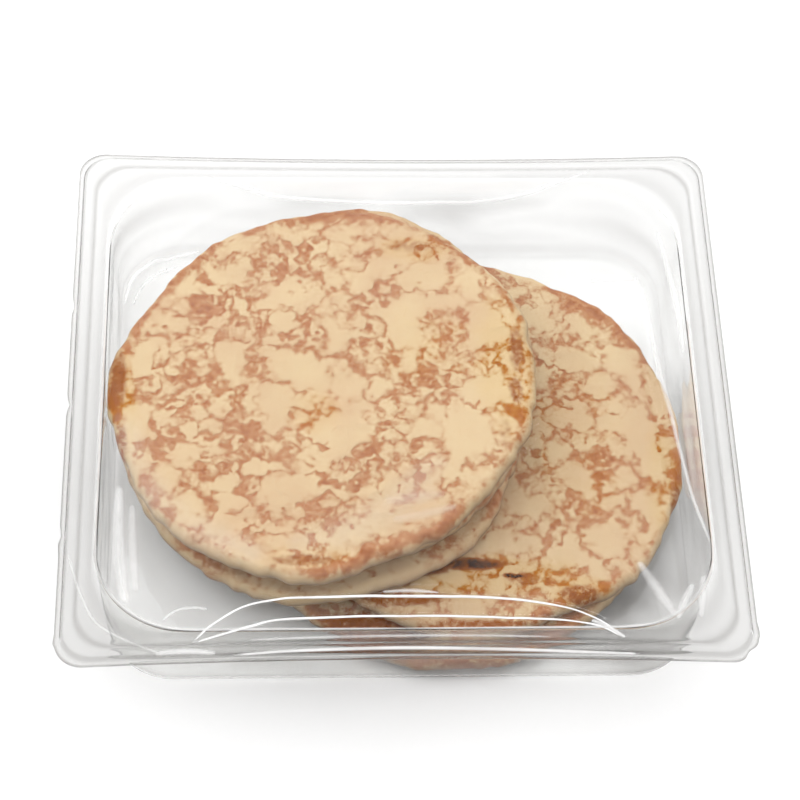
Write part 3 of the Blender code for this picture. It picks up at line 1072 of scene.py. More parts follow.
def blini_top(number, blini, underside, waves, phases):
    """The points of the top, their places from the blini's middle, and how deep they lie in the lace."""
    name, centre_x, centre_y = blini[:3]
    reach, angle = square_to_disc(FINE_GRID if "upper" in name else PLAIN_GRID)
    edge = outline_radius(angle, blini, waves) + scallops(angle, number)
    inner = (edge - EDGE_ROUND) * reach
    x, y = inner * np.cos(angle), inner * np.sin(angle)
    from_edge = edge - inner
    depth = lace(x, y, name, number) - RIM_THINNER * smooth_step(8.0, 3.0, from_edge)
    depth = np.maximum(depth, edge_browning(x, y, from_edge, number))
    across, along = centre_x + x, centre_y + y
    z = height_at(underside, across, along) + THICK + lumps(across, along, phases)
    dimples = np.abs(soft_noise(x, y, 5.5, 700 + number))
    z -= DIMPLE * dimples * smooth_step(0.0, 1.0, from_edge / 5)
    z -= RELIEF * smooth_step(-0.5, 0.4, depth) * smooth_step(0.0, 1.0, from_edge / 8)
    across, along = side_press(across, along, z)
    return np.stack([across, along, z], -1), np.stack([x, y], -1), depth


# %% [markdown]
# The side is half a circle in section, and the underside follows what carries it. Both are rings
# that carry on from the border of the grid, all of them worked out at once.

# %% Blini side
SIDE_TURNS = np.radians((72.0, 54.0, 36.0, 18.0, 0.0, -22.0, -45.0, -68.0, -90.0))
UNDER_SHARES = np.array((0.93, 0.8, 0.6, 0.35))
HALF_THICK = THICK / 2
WRINKLE = 0.12
# How much less the side is browned at its foot than at its top
SIDE_PALER = 2.2


def blini_side(number, blini, underside, angle, waves, phases):
    """The rings of the side and the underside: their points, places from the blini's middle, depth in
    the lace, and how far down they are as a share of the thickness."""
    centre_x, centre_y = blini[1:3]
    edge = outline_radius(angle, blini, waves) + scallops(angle, number)
    side_reach = edge - EDGE_ROUND + EDGE_ROUND * np.cos(SIDE_TURNS)[:, None]
    reach = np.concatenate([side_reach, (edge - EDGE_ROUND) * UNDER_SHARES[:, None]])
    height = np.append(HALF_THICK + HALF_THICK * np.sin(SIDE_TURNS), np.zeros(len(UNDER_SHARES)))[:, None]
    x, y = reach * np.cos(angle), reach * np.sin(angle)
    wrinkle = WRINKLE * soft_noise(40 * np.cos(angle), 40 * np.sin(angle), 3.0, 500 + number)
    bulge = 1 + wrinkle * np.sin(np.pi * np.clip(height / THICK, 0, 1)) / 40
    across, along = centre_x + x * bulge, centre_y + y * bulge
    z = height_at(underside, across, along) + height + lumps(across, along, phases) * (height > HALF_THICK)
    across, along = side_press(across, along, z)
    down = np.broadcast_to((THICK - height) / THICK, x.shape)
    depth = edge_browning(x, y, edge - reach, number) - SIDE_PALER * down
    return np.stack([across, along, z], -1), np.stack([x, y], -1), depth, down


# %% [markdown]
# A blini is the top, the rings and one point in the middle of the underside. Its points carry four named
# values, which its material reads: how deep it lies in the lace, how far round its side, where the film
# wets it, and where the crust darkens, in part as painted shade.


# %% Whole blini
def blini_faces(steps, ring_count):
    """The grid's quads, quads between the rings, and a fan that closes the underside."""
    border, last = border_of_grid(steps), steps * steps
    sides = len(border)
    rings = [border] + [last + k * sides + np.arange(sides) for k in range(ring_count)]
    quads = [grid_faces(steps)]
    for upper, lower in zip(rings, rings[1:]):
        quads.append(np.stack([upper, lower, np.roll(lower, -1), np.roll(upper, -1)], -1))
    middle = np.full(sides, last + ring_count * sides)
    return np.concatenate(quads), np.stack([middle, np.roll(rings[-1], -1), rings[-1]], -1)


def make_blini(number, blini, underside, waves, phases):
    """One blini's object: its points, its named values and its faces put together."""
    name = blini[0]
    top, top_place, top_depth = blini_top(number, blini, underside, waves, phases)
    steps = len(top)
    angle = square_to_disc(steps)[1].ravel()[border_of_grid(steps)]
    side, side_place, side_depth, down = blini_side(number, blini, underside, angle, waves, phases)
    points = np.concatenate([top.reshape(-1, 3), side.reshape(-1, 3), side[-1].mean(0, keepdims=True)])
    place = np.concatenate([top_place.reshape(-1, 2), side_place.reshape(-1, 2)])
    fields = {
        "lace": np.append(top_depth.ravel(), side_depth.ravel()),
        "side": np.append(np.zeros(steps * steps), down.ravel()),
        "wet": patches(place[:, 0], place[:, 1], WET.get(name, ())),
        "darkened": patches(place[:, 0], place[:, 1], DARK_PATCHES.get(name, ())),
    }
    fields = {field: np.append(values, 0.0) for field, values in fields.items()}
    return new_object("baked_" + name, points, *blini_faces(steps, len(side)), fields)


def loaded(support, underside, blini, waves, phases):
    """What carries the next blini: the support with this one's plain top on it."""
    out_x, out_y = GRID_X - blini[1], GRID_Y - blini[2]
    reach = np.hypot(out_x, out_y)
    edge = outline_radius(np.arctan2(out_y, out_x), blini, waves)
    past = np.clip((reach - (edge - EDGE_ROUND)) / EDGE_ROUND, 0, 1)
    top = underside + HALF_THICK + HALF_THICK * np.sqrt(1 - past**2) + lumps(GRID_X, GRID_Y, phases)
    return np.where(reach < edge, np.maximum(support, top), support)


# %% [markdown]
# The blinis are laid down one by one, as they were packed, so that each lies on those before it.

# %% Lay the blinis down
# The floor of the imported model, on which the lowest blinis lie, in millimetres
CAD_WALL = 0.6
rng = np.random.default_rng(SEED)
support = np.full(GRID_X.shape, CAD_WALL)
blinis = {}
for number, blini in enumerate(BLINIS):
    waves = np.column_stack([rng.normal(size=6), rng.uniform(0, 2 * np.pi, 6)])
    phases = rng.uniform(0, 2 * np.pi, 4)
    underside = drape(support) + GAP
    blinis[blini[0]] = make_blini(number, blini, underside, waves, phases)
    support = loaded(support, underside, blini, waves, phases)
    print(blini[0], "reaches up to, mm:", round(float(support.max()), 1))

# %% [markdown]
# ## The film
# The film is a skin under a slight vacuum: it hangs between the rim and the food like a soap film
# between wires, and lies on the highest blini. A cloth simulation could shrink a sheet onto it, but
# it takes long and has many settings to guess. So the height map relaxes step by step to the mean
# of its neighbours, less a small pull, and never under the food. First every second point settles,
# and then the full map settles a little more.

# %% Settled skin
FILM_PULL = 0.0085
COARSE_STEPS = 2500
FINE_STEPS = 500
SEAL_CLEAR = 0.10
FOOD_CLEAR = 0.28


def settle(skin, carried, inside, pull, steps):
    """Each step moves every point inside the opening to the mean of its four neighbours, less the
    pull, but not below what carries it."""
    for _ in range(steps):
        around = (skin[2:, 1:-1] + skin[:-2, 1:-1] + skin[1:-1, 2:] + skin[1:-1, :-2]) / 4
        moved = np.maximum(around - pull, carried[1:-1, 1:-1])
        skin[1:-1, 1:-1] = np.where(inside[1:-1, 1:-1], moved, skin[1:-1, 1:-1])
    return skin


def inside_opening():
    """Where the height map lies inside the opening's rounded rectangle."""
    corner_x = np.clip(np.abs(GRID_X) - (OPENING_HALF_X - OPENING_RADIUS), 0, None)
    corner_y = np.clip(np.abs(GRID_Y) - (OPENING_HALF_Y - OPENING_RADIUS), 0, None)
    within = (np.abs(GRID_X) < OPENING_HALF_X) & (np.abs(GRID_Y) < OPENING_HALF_Y)
    return within & (np.hypot(corner_x, corner_y) < OPENING_RADIUS)


def settled_film():
    """The settled height map, and the height of the food under it with a little room."""
    inside = inside_opening()
    windows = np.lib.stride_tricks.sliding_window_view(np.pad(support, 1, mode="edge"), (3, 3))
    carried = windows.max((2, 3)) + FOOD_CLEAR
    seal = np.full(GRID_X.shape, HEIGHT + SEAL_CLEAR)
    coarse = settle(seal[::2, ::2].copy(), carried[::2, ::2], inside[::2, ::2], FILM_PULL, COARSE_STEPS)
    steps_x = np.arange(len(FIELD_X))[:, None] / 2 + np.zeros(len(FIELD_Y))
    steps_y = np.arange(len(FIELD_Y))[None, :] / 2 + np.zeros(len(FIELD_X))[:, None]
    fine = np.where(inside, np.maximum(smooth_at(coarse, steps_x, steps_y), carried), seal)
    return settle(fine, carried, inside, FILM_PULL / 4, FINE_STEPS), carried


skin, carried = settled_film()
print("film hangs down to, mm:", round(float(skin.min()), 1))

# %% [markdown]
# Folds are what shows that there is a film at all. Each fold is a ridge along a path: a smooth
# curve through a few chosen points, with a bell-shaped section that fades out at both ends.

# %% Folds
# Points of the path, height, half-width, all in millimetres
FOLDS = (
    (((-57, -77.0), (-44, -69.0), (-29, -66.2), (-10, -65.6), (10, -65.4), (27, -66.0), (42, -69.0),
      (57, -76.5)), 0.9, 1.0),
    (((-56, -77.6), (-35, -73.0), (-16, -72.2), (3, -72.0), (20, -72.4), (41, -73.6), (56, -77.2)),
     0.8, 0.9),
    (((-56, 75.5), (-44, 71.8), (-31, 68.8), (2, 67.0), (32, 69.0), (51, 73.5), (60, 76)), 0.7, 1.6),
    (((74, 52), (76, 20), (78, -10), (80, -40)), 0.8, 1.8),
    (((62, 48), (69, 25), (73, 0), (76, -30), (81, -55)), 0.7, 1.6),
    (((67, 30), (72, 8), (75, -18), (78, -48), (83, -60)), 0.5, 1.2),
    (((38, 50), (55, 53), (72, 51)), 0.6, 2.5),
    (((-4, -61.5), (4, -62.0), (12, -61.5)), 0.5, 0.8),
    (((-74, 40), (-68, 52), (-56, 62), (-40, 68)), 0.5, 1.6),
    (((-79, 20), (-76, 38), (-66, 53), (-50, 65)), 0.4, 1.3),
)
PATH_STEPS = 90


def smooth_path(points):
    """A smooth curve through the points, with its ends carried straight on."""
    points = np.array(points, float)
    padded = np.concatenate([2 * points[:1] - points[1:2], points, 2 * points[-1:] - points[-2:-1]])
    places = np.linspace(0, len(points) - 1.001, PATH_STEPS)
    start = places.astype(int)
    found = np.zeros((PATH_STEPS, 2))
    for step, weight in enumerate(cubic_weights(places - start)):
        found += weight[:, None] * padded[start + step]
    return found


def fold_height(x, y, points, height, half_width):
    """Bell-shaped over the distance to the path, and fading towards both its ends."""
    path = smooth_path(points)
    nearest = np.full(x.shape, 1e3)
    along = np.zeros_like(x)
    for place, (begin, end) in enumerate(zip(path, path[1:])):
        away, share = to_segment(x, y, begin, end)
        closer = away < nearest
        nearest = np.where(closer, away, nearest)
        along = np.where(closer, (place + share) / (PATH_STEPS - 1), along)
    return height * np.exp(-((nearest / half_width) ** 2)) * np.sin(np.pi * along) ** 0.5


print("folds:", len(FOLDS))

# %% [markdown]
# The film's body is a stack of rings again: its lower face from the middle to the cut edge, which
# follows the skin and then the rim, and the same rings back again, one film thickness higher.

# %% Film body
FILM_THICK = 0.12
FILM_SHARES = np.concatenate([np.linspace(0.02, 0.66, 40), np.linspace(0.67, 0.995, 46)])
FILM_WRINKLE = 0.10
# How far the film may press into the room that is left over the food
FILM_PRESS = 0.12
FILM_STEPS = (18, 58)


def film_height(x, y, fade):
    """The film's lower face: the settled skin, with folds and small waves that fade out at the seal."""
    base = height_at(skin, x, y)
    ridges = sum(fold_height(x, y, *fold) for fold in FOLDS)
    food = height_at(carried, x, y)
    free = smooth_step(0.0, 2.5, base - food)
    waves = soft_noise(x, y, 9.0, 41) + 0.5 * soft_noise(x, y, 4.0, 42)
    waves = FILM_WRINKLE * waves * (0.3 + 0.7 * free)
    return np.maximum(base + (ridges + waves) * fade, food - FILM_PRESS)


def film_surface():
    """Rings of the lower face from the middle to the cut edge."""
    outlines = np.array([wall_outline(1.0, steps=FILM_STEPS) * share for share in FILM_SHARES])
    x, y = outlines[..., 0], outlines[..., 1]
    fade = smooth_step(1.0, 0.97, FILM_SHARES)[:, None]
    rings = np.stack([x, y, film_height(x, y, fade)], -1)
    rim = []
    for inset in [*rim_insets[::2], 0.0]:
        rim.append(level_ring(flange_outline(inset, FILM_STEPS), rim_height(inset) + SEAL_CLEAR))
    return np.concatenate([rings, np.array(rim)])


lower = film_surface()
upper = lower[::-1] + (0.0, 0.0, FILM_THICK)
film = body_of_rings("clear_film", np.concatenate([lower, upper]))
print("film points:", len(film.data.vertices))

# %% [markdown]
# Where the film is folded hard, the crease catches every lamp and shows as a white line, and a soft fold
# shows as a milky streak. These highlights are painted: each is a thin lens-shaped ribbon that lies on the
# film, in an opaque white, strong along its middle and gone at its sides. Painted white lines also run
# along the opening and the rim, and a faint painted veil for the film's haze lies over the left pile. Noise
# could scatter such streaks, but here each follows a line seen on the pack.

# %% Painted highlight table
# Painted highlights: points of the path in millimetres, half-width, whiteness, how much of the width is
# fully white
PAINTED_SHINES = (
    # the two front arcs, and the short ones beside them
    (((-58.0, -79.6), (-52.5, -74.0), (-44.1, -68.2), (-36, -66.4), (-29.2, -65.7), (-10, -65.4),
      (3.5, -65.4), (25.4, -65.8), (41.6, -68.4), (50, -72.2), (58.5, -79.4)), 0.55, 1.0, 0.7),
    (((-58.0, -79.8), (-50, -77.2), (-42, -74.7), (-34.6, -72.8), (-15.7, -72.0), (3.2, -71.9),
      (19.5, -72.3), (41.2, -73.4), (51.9, -75.6), (58.0, -79.2)), 0.50, 1.0, 0.7),
    (((49.5, -73.4), (53.5, -75.6), (58.5, -79.0)), 1.0, 0.5, 0.1),
    (((-7, -63.6), (0.8, -63.2), (9, -63.8)), 0.8, 0.35, 0.1),
    (((-66.0, -72.5), (-62.9, -69.5), (-58.3, -68.3), (-54, -68.8)), 0.7, 0.35, 0.1),
    # down the left side
    (((-79.3, -30), (-79.0, -46), (-78.2, -58), (-76, -68)), 2.4, 0.38, 0.0),
    (((-75.5, -36), (-75, -50), (-73.5, -64)), 1.8, 0.22, 0.0),
    # along the back
    (((-57.2, 76.3), (-43.6, 71.8), (-31.5, 68.8), (1.7, 67.0), (32.2, 69.0), (50.8, 74.8),
      (60.4, 79.0)), 0.8, 0.6, 0.2),
    (((-79.9, 30), (-77.8, 39.8), (-72.9, 45.2), (-67.1, 47.7), (-58, 50.5)), 0.9, 0.45, 0.1),
    (((-77.5, 30), (-75, 37), (-70.5, 42), (-65, 44.5)), 0.6, 0.35, 0.1),
    # down the right side
    (((79.2, 57), (80.5, 47.1), (81.9, 35.1), (82.7, 24.4), (82.9, 12)), 1.1, 0.45, 0.1),
    (((71.6, 43), (73.3, 32.9), (74.4, 22.2), (75.1, 13.4), (76.3, 2), (77.7, -8), (79.0, -20),
      (81.2, -36), (85.0, -53.1)), 0.9, 0.34, 0.1),
    (((58, 41.6), (65.8, 41.9), (71.6, 41.5)), 1.2, 0.3, 0.0),
    (((73.0, -73.5), (75.6, -67.9), (78.4, -62.5)), 1.6, 0.35, 0.0),
    (((79.5, -73), (80.5, -67), (81.5, -60)), 1.6, 0.3, 0.0),
    (((64.5, -53.5), (68.6, -63.1), (72.5, -72.2)), 2.0, 0.28, 0.0),
    # along the front of the rim
    (((-48.0, -83.4), (-29.3, -82.2), (-2.5, -81.6), (24.4, -82.2), (51.3, -83.4), (62.1, -83.9)),
     0.7, 0.6, 0.3),
    (((-68, -82.8), (-59.9, -82.2), (-51.6, -82.8)), 1.3, 0.4, 0.0),
    (((-44, -79.0), (-20, -78.2), (10, -78.0), (40, -78.6)), 0.6, 0.3, 0.0),
    # round the opening, left and right
    (((-77.6, 68.3), (-83.1, 60.1), (-85.0, 50), (-85.0, 20), (-85.0, -20), (-85.0, -50.3),
      (-83.1, -60.1), (-77.6, -68.3), (-69.4, -73.8), (-59.7, -75.7), (-40, -75.8), (-20, -75.8),
      (8, -75.8)), 0.6, 0.42, 0.3),
    (((77.6, 68.3), (83.1, 60.1), (85.0, 50), (85.0, 20), (85.0, -20), (85.0, -50.3),
      (83.1, -60.1), (77.6, -68.3), (69.4, -73.8), (59.7, -75.7), (40, -75.8), (20, -75.8),
      (-8, -75.8)), 0.6, 0.42, 0.3),
    # round the front left corner
    (((-92.5, -52.0), (-88.5, -64.5), (-83.3, -74.0), (-73.5, -79.8), (-63.6, -83.6)), 0.6, 0.20, 0.1),
    # faint painted shines, and a painted veil for the film's haze over the left pile
    (((-5.8, -35.6), (3.3, -34.4), (11.8, -33.1)), 3.0, 0.06, 0.0),
    (((-3.7, -41.6), (5.0, -39.9), (14.9, -37.2)), 2.2, 0.07, 0.0),
    (((-79.5, -5.0), (-74.5, -25.9), (-62.4, -40.4), (-38.0, -54.0)), 8.0, 0.07, 0.0),
    (((-34.0, -51.0), (-15.2, -44.4), (-1.0, -34.3), (12.0, -20.0)), 8.0, 0.05, 0.0),
)

# %% Painted highlights
CREASE_TURNS = np.radians(np.arange(0.0, 360.0, 22.5))
CREASE_HIGH = 0.14
# Share of the half-width that is left at the ends, and share of the length over which white fades
CREASE_END = 0.35
CREASE_FADE = 0.06


def crease_height(x, y):
    """The film's upper face, which goes over into the level seal face across the opening's line."""
    inside = film_height(x, y, 1.0)
    over_x, over_y = np.abs(x) - OPENING_HALF_X, np.abs(y) - OPENING_HALF_Y
    share = smooth_step(-1.5, 0.5, np.maximum(over_x, over_y))
    return inside * (1 - share) + (HEIGHT + SEAL_CLEAR) * share + FILM_THICK


def shine_ribbon(points, half_width, whiteness, core):
    """Rings of a lens-shaped tube along the path, thinner towards its ends, and the whiteness of the
    painted highlight at each point: full within the core, none at the sides and the ends."""
    path = smooth_path(points)
    run = np.gradient(path, axis=0)
    run = run / np.linalg.norm(run, axis=1, keepdims=True)
    side = np.column_stack([-run[:, 1], run[:, 0]])
    swell = np.sin(np.pi * np.linspace(0.01, 0.99, len(path))) ** 0.5
    width = half_width * (CREASE_END + (1 - CREASE_END) * swell)
    out = width[:, None] * np.cos(CREASE_TURNS)
    x = path[:, :1] + side[:, :1] * out
    y = path[:, 1:] + side[:, 1:] * out
    lens = 0.4 + np.sin(CREASE_TURNS)
    z = crease_height(x, y) + CREASE_HIGH * swell[:, None] * lens
    from_end = 0.5 - np.abs(np.linspace(-0.5, 0.5, len(path)))
    ends = smooth_step(0.0, CREASE_FADE, from_end)[:, None]
    white = whiteness * ends * smooth_step(1.0, core * 0.9, np.abs(np.cos(CREASE_TURNS)))
    return np.stack([x, y, z], -1), white


painted_shines = []
for number, entry in enumerate(PAINTED_SHINES):
    rings, white = shine_ribbon(*entry)
    ends = [white[0].mean(), white[-1].mean()]
    field = {"white": np.concatenate([white.ravel(), ends])}
    painted_shines.append(body_of_rings("film_crease_%02d" % number, rings, field))
print("creases:", len(painted_shines))

# %% [markdown]
# ## The crust
# The top is pale batter with a brown lace, darker where the lace is thick, and the round side is painted
# grey-brown towards its foot, as painted shade. A painted picture could give this, but it would blur close
# up and show the same stains on every blini. So one node group paints them all from the values on their
# points. It frays the border of the lace with fine noise and turns depth into browning. Where the film
# hangs free of the top, a pale veil is painted on for the film's haze, and where the film lies on it the
# colours are deeper. Listed patches go deep brown and then near black; where the left pile overhangs the
# lower right blini this is painted shade as well as browning. Fine pores finish it.

# %% Crust colours
PALE = (0.690, 0.525, 0.302)
BROWN = (0.455, 0.173, 0.053)
DEEP = (0.30, 0.078, 0.014)
# The painted shade that the side takes on towards its foot
SIDE_SHADE = (0.285, 0.20, 0.13)
# The pale veil painted where the film hangs free of the top, for the film's haze
FILM_VEIL = (0.68, 0.56, 0.49)
PATCH_BROWN = (0.30, 0.085, 0.010)
PATCH_BLACK = (0.026, 0.008, 0.002)
# Noise sizes, in swellings per metre
PORES = 1300.0
FRAY = 560.0
MOTTLE = 420.0
STAINS = 110.0
BROAD = 45.0
# How far the fray shakes the border of the lace, in millimetres of depth
FRAY_SHAKE = 5.2


def browning(tree, given, depth, mottle, broad):
    """Pale batter, light brown round the lace and in broad stains, brown in it, and deep brown where
    it is thick."""
    pale, brown, deep = (given[name] for name in ("Pale", "Brown", "Deep"))
    halo = times(tree, remap(tree, depth, -1.8, 0.1), 0.42)
    stain = times(tree, remap(tree, broad, 0.35, 0.7), 0.22)
    inside = times(tree, remap(tree, depth, -0.55, 0.55), remap(tree, mottle, 0.25, 0.6, 0.62, 1.0))
    thick = times(tree, remap(tree, depth, 0.2, 1.5), remap(tree, mottle, 0.35, 0.65))
    colour = blend_colours(tree, halo, pale, brown)
    colour = blend_colours(tree, stain, colour, brown)
    colour = blend_colours(tree, inside, colour, brown)
    return blend_colours(tree, times(tree, thick, 0.75), colour, deep)


def shaded_and_veiled(tree, given, colour, broad, pores):
    """The side goes grey-brown towards its foot as painted shade, a pale veil is painted where the film
    hangs free of the top for the film's haze, and the pores go a little browner.
    """
    side = remap(tree, given["Side"], 0.05, 0.70, 0.0, 0.92)
    colour = blend_colours(tree, side, colour, SIDE_SHADE)
    film_free = remap(tree, given["Wet"], 0.0, 0.8, 0.10, 0.0)
    veil = times(tree, film_free, remap(tree, broad, 0.3, 0.7, 0.6, 1.2))
    colour = blend_colours(tree, veil, colour, FILM_VEIL)
    return blend_colours(tree, remap(tree, pores, 0.45, 0.75, 0.0, 0.16), colour, given["Brown"])


def wetted(tree, given, colour, depth):
    """Where the film lies on it, the crust is stronger in colour, and most so where it is browned."""
    shake = times(tree, minus(tree, noise(tree, given["Vector"], STAINS, 3.0), 0.5), 1.3)
    wet = remap(tree, plus(tree, given["Wet"], shake), 0.25, 1.05)
    wet = times(tree, wet, remap(tree, depth, -1.2, 0.4, 0.25, 1.0))
    stronger = tree.nodes.new("ShaderNodeHueSaturation")
    for socket, value in (("Saturation", 1.32), ("Value", 0.90), ("Color", colour)):
        feed(tree, value, stronger.inputs[socket])
    return blend_colours(tree, wet, colour, stronger.outputs["Color"])


def darken_in_patches(tree, given, colour, mottle, fray):
    """Deep brown up to half strength and near black above it, with a frayed border; in part painted shade.
    """
    darkening = times(tree, given["Darkened"], remap(tree, mottle, 0.2, 0.6, 0.55, 1.15))
    darkening = plus(tree, darkening, times(tree, times(tree, fray, given["Darkened"]), 2.6))
    colour = blend_colours(tree, remap(tree, darkening, 0.05, 0.5), colour, PATCH_BROWN)
    return blend_colours(tree, remap(tree, darkening, 0.5, 1.0), colour, PATCH_BLACK)


# %% Crust group
def crust_group():
    """Lace depth, side, wet and darkened patches in; colour, roughness and height out."""
    inputs = [("Vector", "Vector"), ("Lace", "Float"), ("Side", "Float"), ("Wet", "Float"),
              ("Darkened", "Float"), ("Pale", "Color"), ("Brown", "Color"), ("Deep", "Color")]
    outputs = [("Color", "Color"), ("Roughness", "Float"), ("Height", "Float")]
    tree, begin, out = new_group("baked_crust", inputs, outputs)
    given = begin.outputs
    fray = minus(tree, noise(tree, given["Vector"], FRAY, 4.0, 0.72), 0.5)
    mottle = noise(tree, given["Vector"], MOTTLE, 3.0)
    broad = noise(tree, given["Vector"], BROAD, 2.0)
    pores = noise(tree, given["Vector"], PORES, 2.0)
    depth = plus(tree, given["Lace"], times(tree, fray, FRAY_SHAKE))
    colour = browning(tree, given, depth, mottle, broad)
    colour = shaded_and_veiled(tree, given, colour, broad, pores)
    colour = wetted(tree, given, colour, depth)
    feed(tree, darken_in_patches(tree, given, colour, mottle, fray), out.inputs["Color"])
    rough = remap(tree, given["Wet"], 0.0, 1.0, 0.66, 0.40)
    feed(tree, plus(tree, rough, times(tree, fray, 0.2)), out.inputs["Roughness"])
    grain = plus(tree, times(tree, mottle, 0.6), times(tree, pores, 0.25))
    sunk = times(tree, remap(tree, depth, -0.55, 0.55), 0.35)
    feed(tree, minus(tree, grain, sunk), out.inputs["Height"])
    return tree


def blini_material(name, pale, brown, deep):
    """The crust group on a dull Principled surface."""
    made, tree, shader = new_material(name)
    values = {"Vector": object_place(tree), "Pale": pale, "Brown": brown, "Deep": deep}
    for socket in ("Lace", "Side", "Wet", "Darkened"):
        values[socket] = attribute(tree, socket.lower())
    crust = place_group(tree, CRUST, values)
    feed(tree, crust.outputs["Color"], shader.inputs["Base Color"])
    feed(tree, crust.outputs["Roughness"], shader.inputs["Roughness"])
    feed(tree, bumped(tree, crust.outputs["Height"], 0.8, 0.4 * MM), shader.inputs["Normal"])
    shader.inputs["Specular IOR Level"].default_value = 0.16
    return made


CRUST = crust_group()
crust_material = blini_material("baked_top", PALE, BROWN, DEEP)
for made in blinis.values():
    made.data.materials.append(crust_material)
print("crust group nodes:", len(CRUST.nodes))

# %% [markdown]
# ## The clear plastics
# The tray is glass to the eye: it reflects a little and bends what is behind it. Glass that casts
# its true shadow would take many minutes to come out clean, so for shadow rays the tray is simply
# transparent. Handling leaves fine rub marks on tray and film, which one group works out for both
# as roughness and height.


# %% Rub marks group
def wear_group():
    """Fine scuffs and soft unevenness in; roughness and height out."""
    inputs = [("Vector", "Vector"), ("Scale", "Float"), ("Rough Low", "Float"), ("Rough High", "Float")]
    outputs = [("Roughness", "Float"), ("Height", "Float")]
    tree, begin, out = new_group("rub_marks", inputs, outputs)
    given = begin.outputs
    spread = tree.nodes.new("ShaderNodeVectorMath")
    spread.operation = "SCALE"
    feed(tree, given["Vector"], spread.inputs["Vector"])
    feed(tree, given["Scale"], spread.inputs["Scale"])
    scuffs = remap(tree, noise(tree, spread.outputs["Vector"], 60.0, 5.0, 0.7), 0.45, 0.75)
    span = minus(tree, given["Rough High"], given["Rough Low"])
    feed(tree, plus(tree, given["Rough Low"], times(tree, scuffs, span)), out.inputs["Roughness"])
    feed(tree, noise(tree, spread.outputs["Vector"], 18.0, 2.0), out.inputs["Height"])
    return tree


def rub_marks(tree, scale, rough_low, rough_high):
    """The group's outputs, placed in a material: the scale spreads its pattern."""
    values = {"Scale": scale, "Rough Low": rough_low, "Rough High": rough_high}
    return place_group(tree, WEAR, {"Vector": object_place(tree)} | values).outputs


WEAR = wear_group()
print("rub marks group nodes:", len(WEAR.nodes))

# %% Tray finish
PLASTIC_TINT = (0.965, 0.968, 0.962)
# The grey that the painted shade and reflection turn the tint to
SHADE_GREY = (0.525, 0.515, 0.505)
LAMP_TINT = (0.985, 0.985, 0.985)
# Less than the 1.5 of solid plastic, because so thin a sheet bends light little
PLASTIC_IOR = 1.30


def clear_plastic():
    """Principled glass, and Transparent for shadow rays. Its tint goes grey with the painted shade and
    reflection that the mesh carries."""
    made, tree, shader = new_material("formed_plastic")
    marks = rub_marks(tree, 1.0, 0.02, 0.07)
    tint = blend_colours(tree, attribute(tree, "painted_grey"), PLASTIC_TINT, SHADE_GREY)
    feed(tree, tint, shader.inputs["Base Color"])
    feed(tree, marks["Roughness"], shader.inputs["Roughness"])
    feed(tree, bumped(tree, marks["Height"], 1.0, 0.05 * MM), shader.inputs["Normal"])
    shader.inputs["Transmission Weight"].default_value = 1.0
    shader.inputs["IOR"].default_value = PLASTIC_IOR
    clear = tree.nodes.new("ShaderNodeBsdfTransparent")
    feed(tree, LAMP_TINT, clear.inputs["Color"])
    rays = tree.nodes.new("ShaderNodeLightPath")
    mix_shaders(tree, rays.outputs["Is Shadow Ray"], shader.outputs["BSDF"], clear.outputs["BSDF"])
    return made


tray.data.materials.append(clear_plastic())
print("tray finish:", tray.data.materials[0].name)

# %% [markdown]
# The film is far too thin to bend light, so it only dims what is behind it a little and reflects a
# little. How much it reflects grows towards a grazing view: a base share, and the third power of the
# facing value, as on any clear sheet.

# %% Film finish
FILM_TINT = (0.992, 0.992, 0.992)
FILM_REFLECTS = 0.006
FILM_GRAZING = 0.55


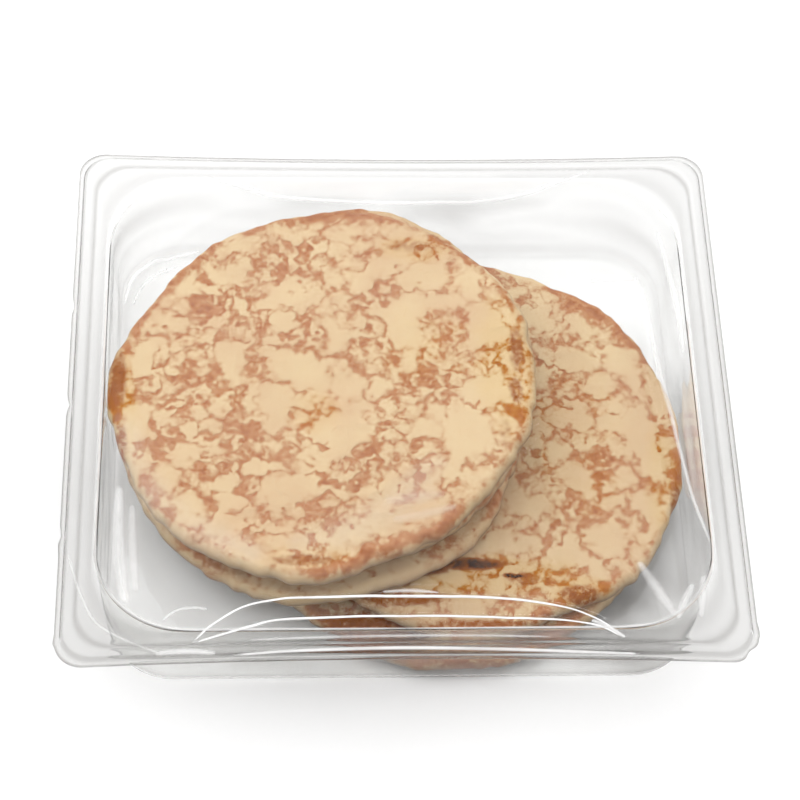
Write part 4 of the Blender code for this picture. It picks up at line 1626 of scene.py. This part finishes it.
def film_material():
    """Transparent and glossy shaders, mixed by the reflected share."""
    made, tree, shader = new_material("drawn_film")
    tree.nodes.remove(shader)
    clear = tree.nodes.new("ShaderNodeBsdfTransparent")
    feed(tree, FILM_TINT, clear.inputs["Color"])
    gloss = tree.nodes.new("ShaderNodeBsdfGlossy")
    feed(tree, (1.0, 1.0, 1.0), gloss.inputs["Color"])
    feed(tree, rub_marks(tree, 1.4, 0.05, 0.14)["Roughness"], gloss.inputs["Roughness"])
    facing = tree.nodes.new("ShaderNodeLayerWeight")
    facing.inputs["Blend"].default_value = 0.5
    grazing = times(tree, math(tree, "POWER", facing.outputs["Facing"], 3.0), FILM_GRAZING)
    share = plus(tree, grazing, FILM_REFLECTS, clamp=True)
    mix_shaders(tree, share, clear.outputs["BSDF"], gloss.outputs["BSDF"])
    return made


film.data.materials.append(film_material())
print("film finish:", film.data.materials[0].name)

# %% [markdown]
# The ribbon is a painted highlight in milky white. Its finish is as opaque as the ribbon's own whiteness
# says, and noise breaks that up a little, because a real crease glints unevenly along its length.


# %% Painted highlight finish
def shine_material():
    """Painted highlight: milky white, as opaque as the value named white says, with fine uneven gloss."""
    made, tree, shader = new_material("painted_film_shine")
    place = object_place(tree)
    streaks = noise(tree, place, 260.0, 3.0)
    # The white of the painted highlight
    milky = blend_colours(tree, streaks, (0.90, 0.895, 0.89), (0.97, 0.965, 0.96))
    feed(tree, milky, shader.inputs["Base Color"])
    feed(tree, remap(tree, streaks, 0.3, 0.7, 0.18, 0.35), shader.inputs["Roughness"])
    uneven = remap(tree, noise(tree, place, 90.0, 2.0), 0.3, 0.65, 0.72, 1.0)
    opaque = times(tree, attribute(tree, "white"), uneven, clamp=True)
    feed(tree, opaque, shader.inputs["Alpha"])
    return made


shine_finish = shine_material()
for made in painted_shines:
    made.data.materials.append(shine_finish)
print("creases with a finish:", len(painted_shines))

# %% [markdown]
# The floor is almost white and dull, so that it takes a soft shadow and no reflection.


# %% Floor finish
def floor_material():
    """A dull pale surface with a very faint grain."""
    made, tree, shader = new_material("pale_floor")
    grain = noise(tree, object_place(tree), 700.0, 2.0)
    colour = blend_colours(tree, grain, (0.935, 0.935, 0.935), (0.95, 0.95, 0.95))
    feed(tree, colour, shader.inputs["Base Color"])
    shader.inputs["Roughness"].default_value = 0.9
    shader.inputs["Specular IOR Level"].default_value = 0.1
    return made


floor.data.materials.append(floor_material())
print("floor finish:", floor.data.materials[0].name)

# %% [markdown]
# ## Pieces in place
# Each piece rides on the pack's one body and replaces the node whose form it has.

# %% Ride and replace
for name, made in blinis.items():
    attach(made, "root")
    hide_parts(name)
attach(tray, "root")
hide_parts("tray")
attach(film, "root")
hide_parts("film")
for made in painted_shines:
    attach(made, "root")
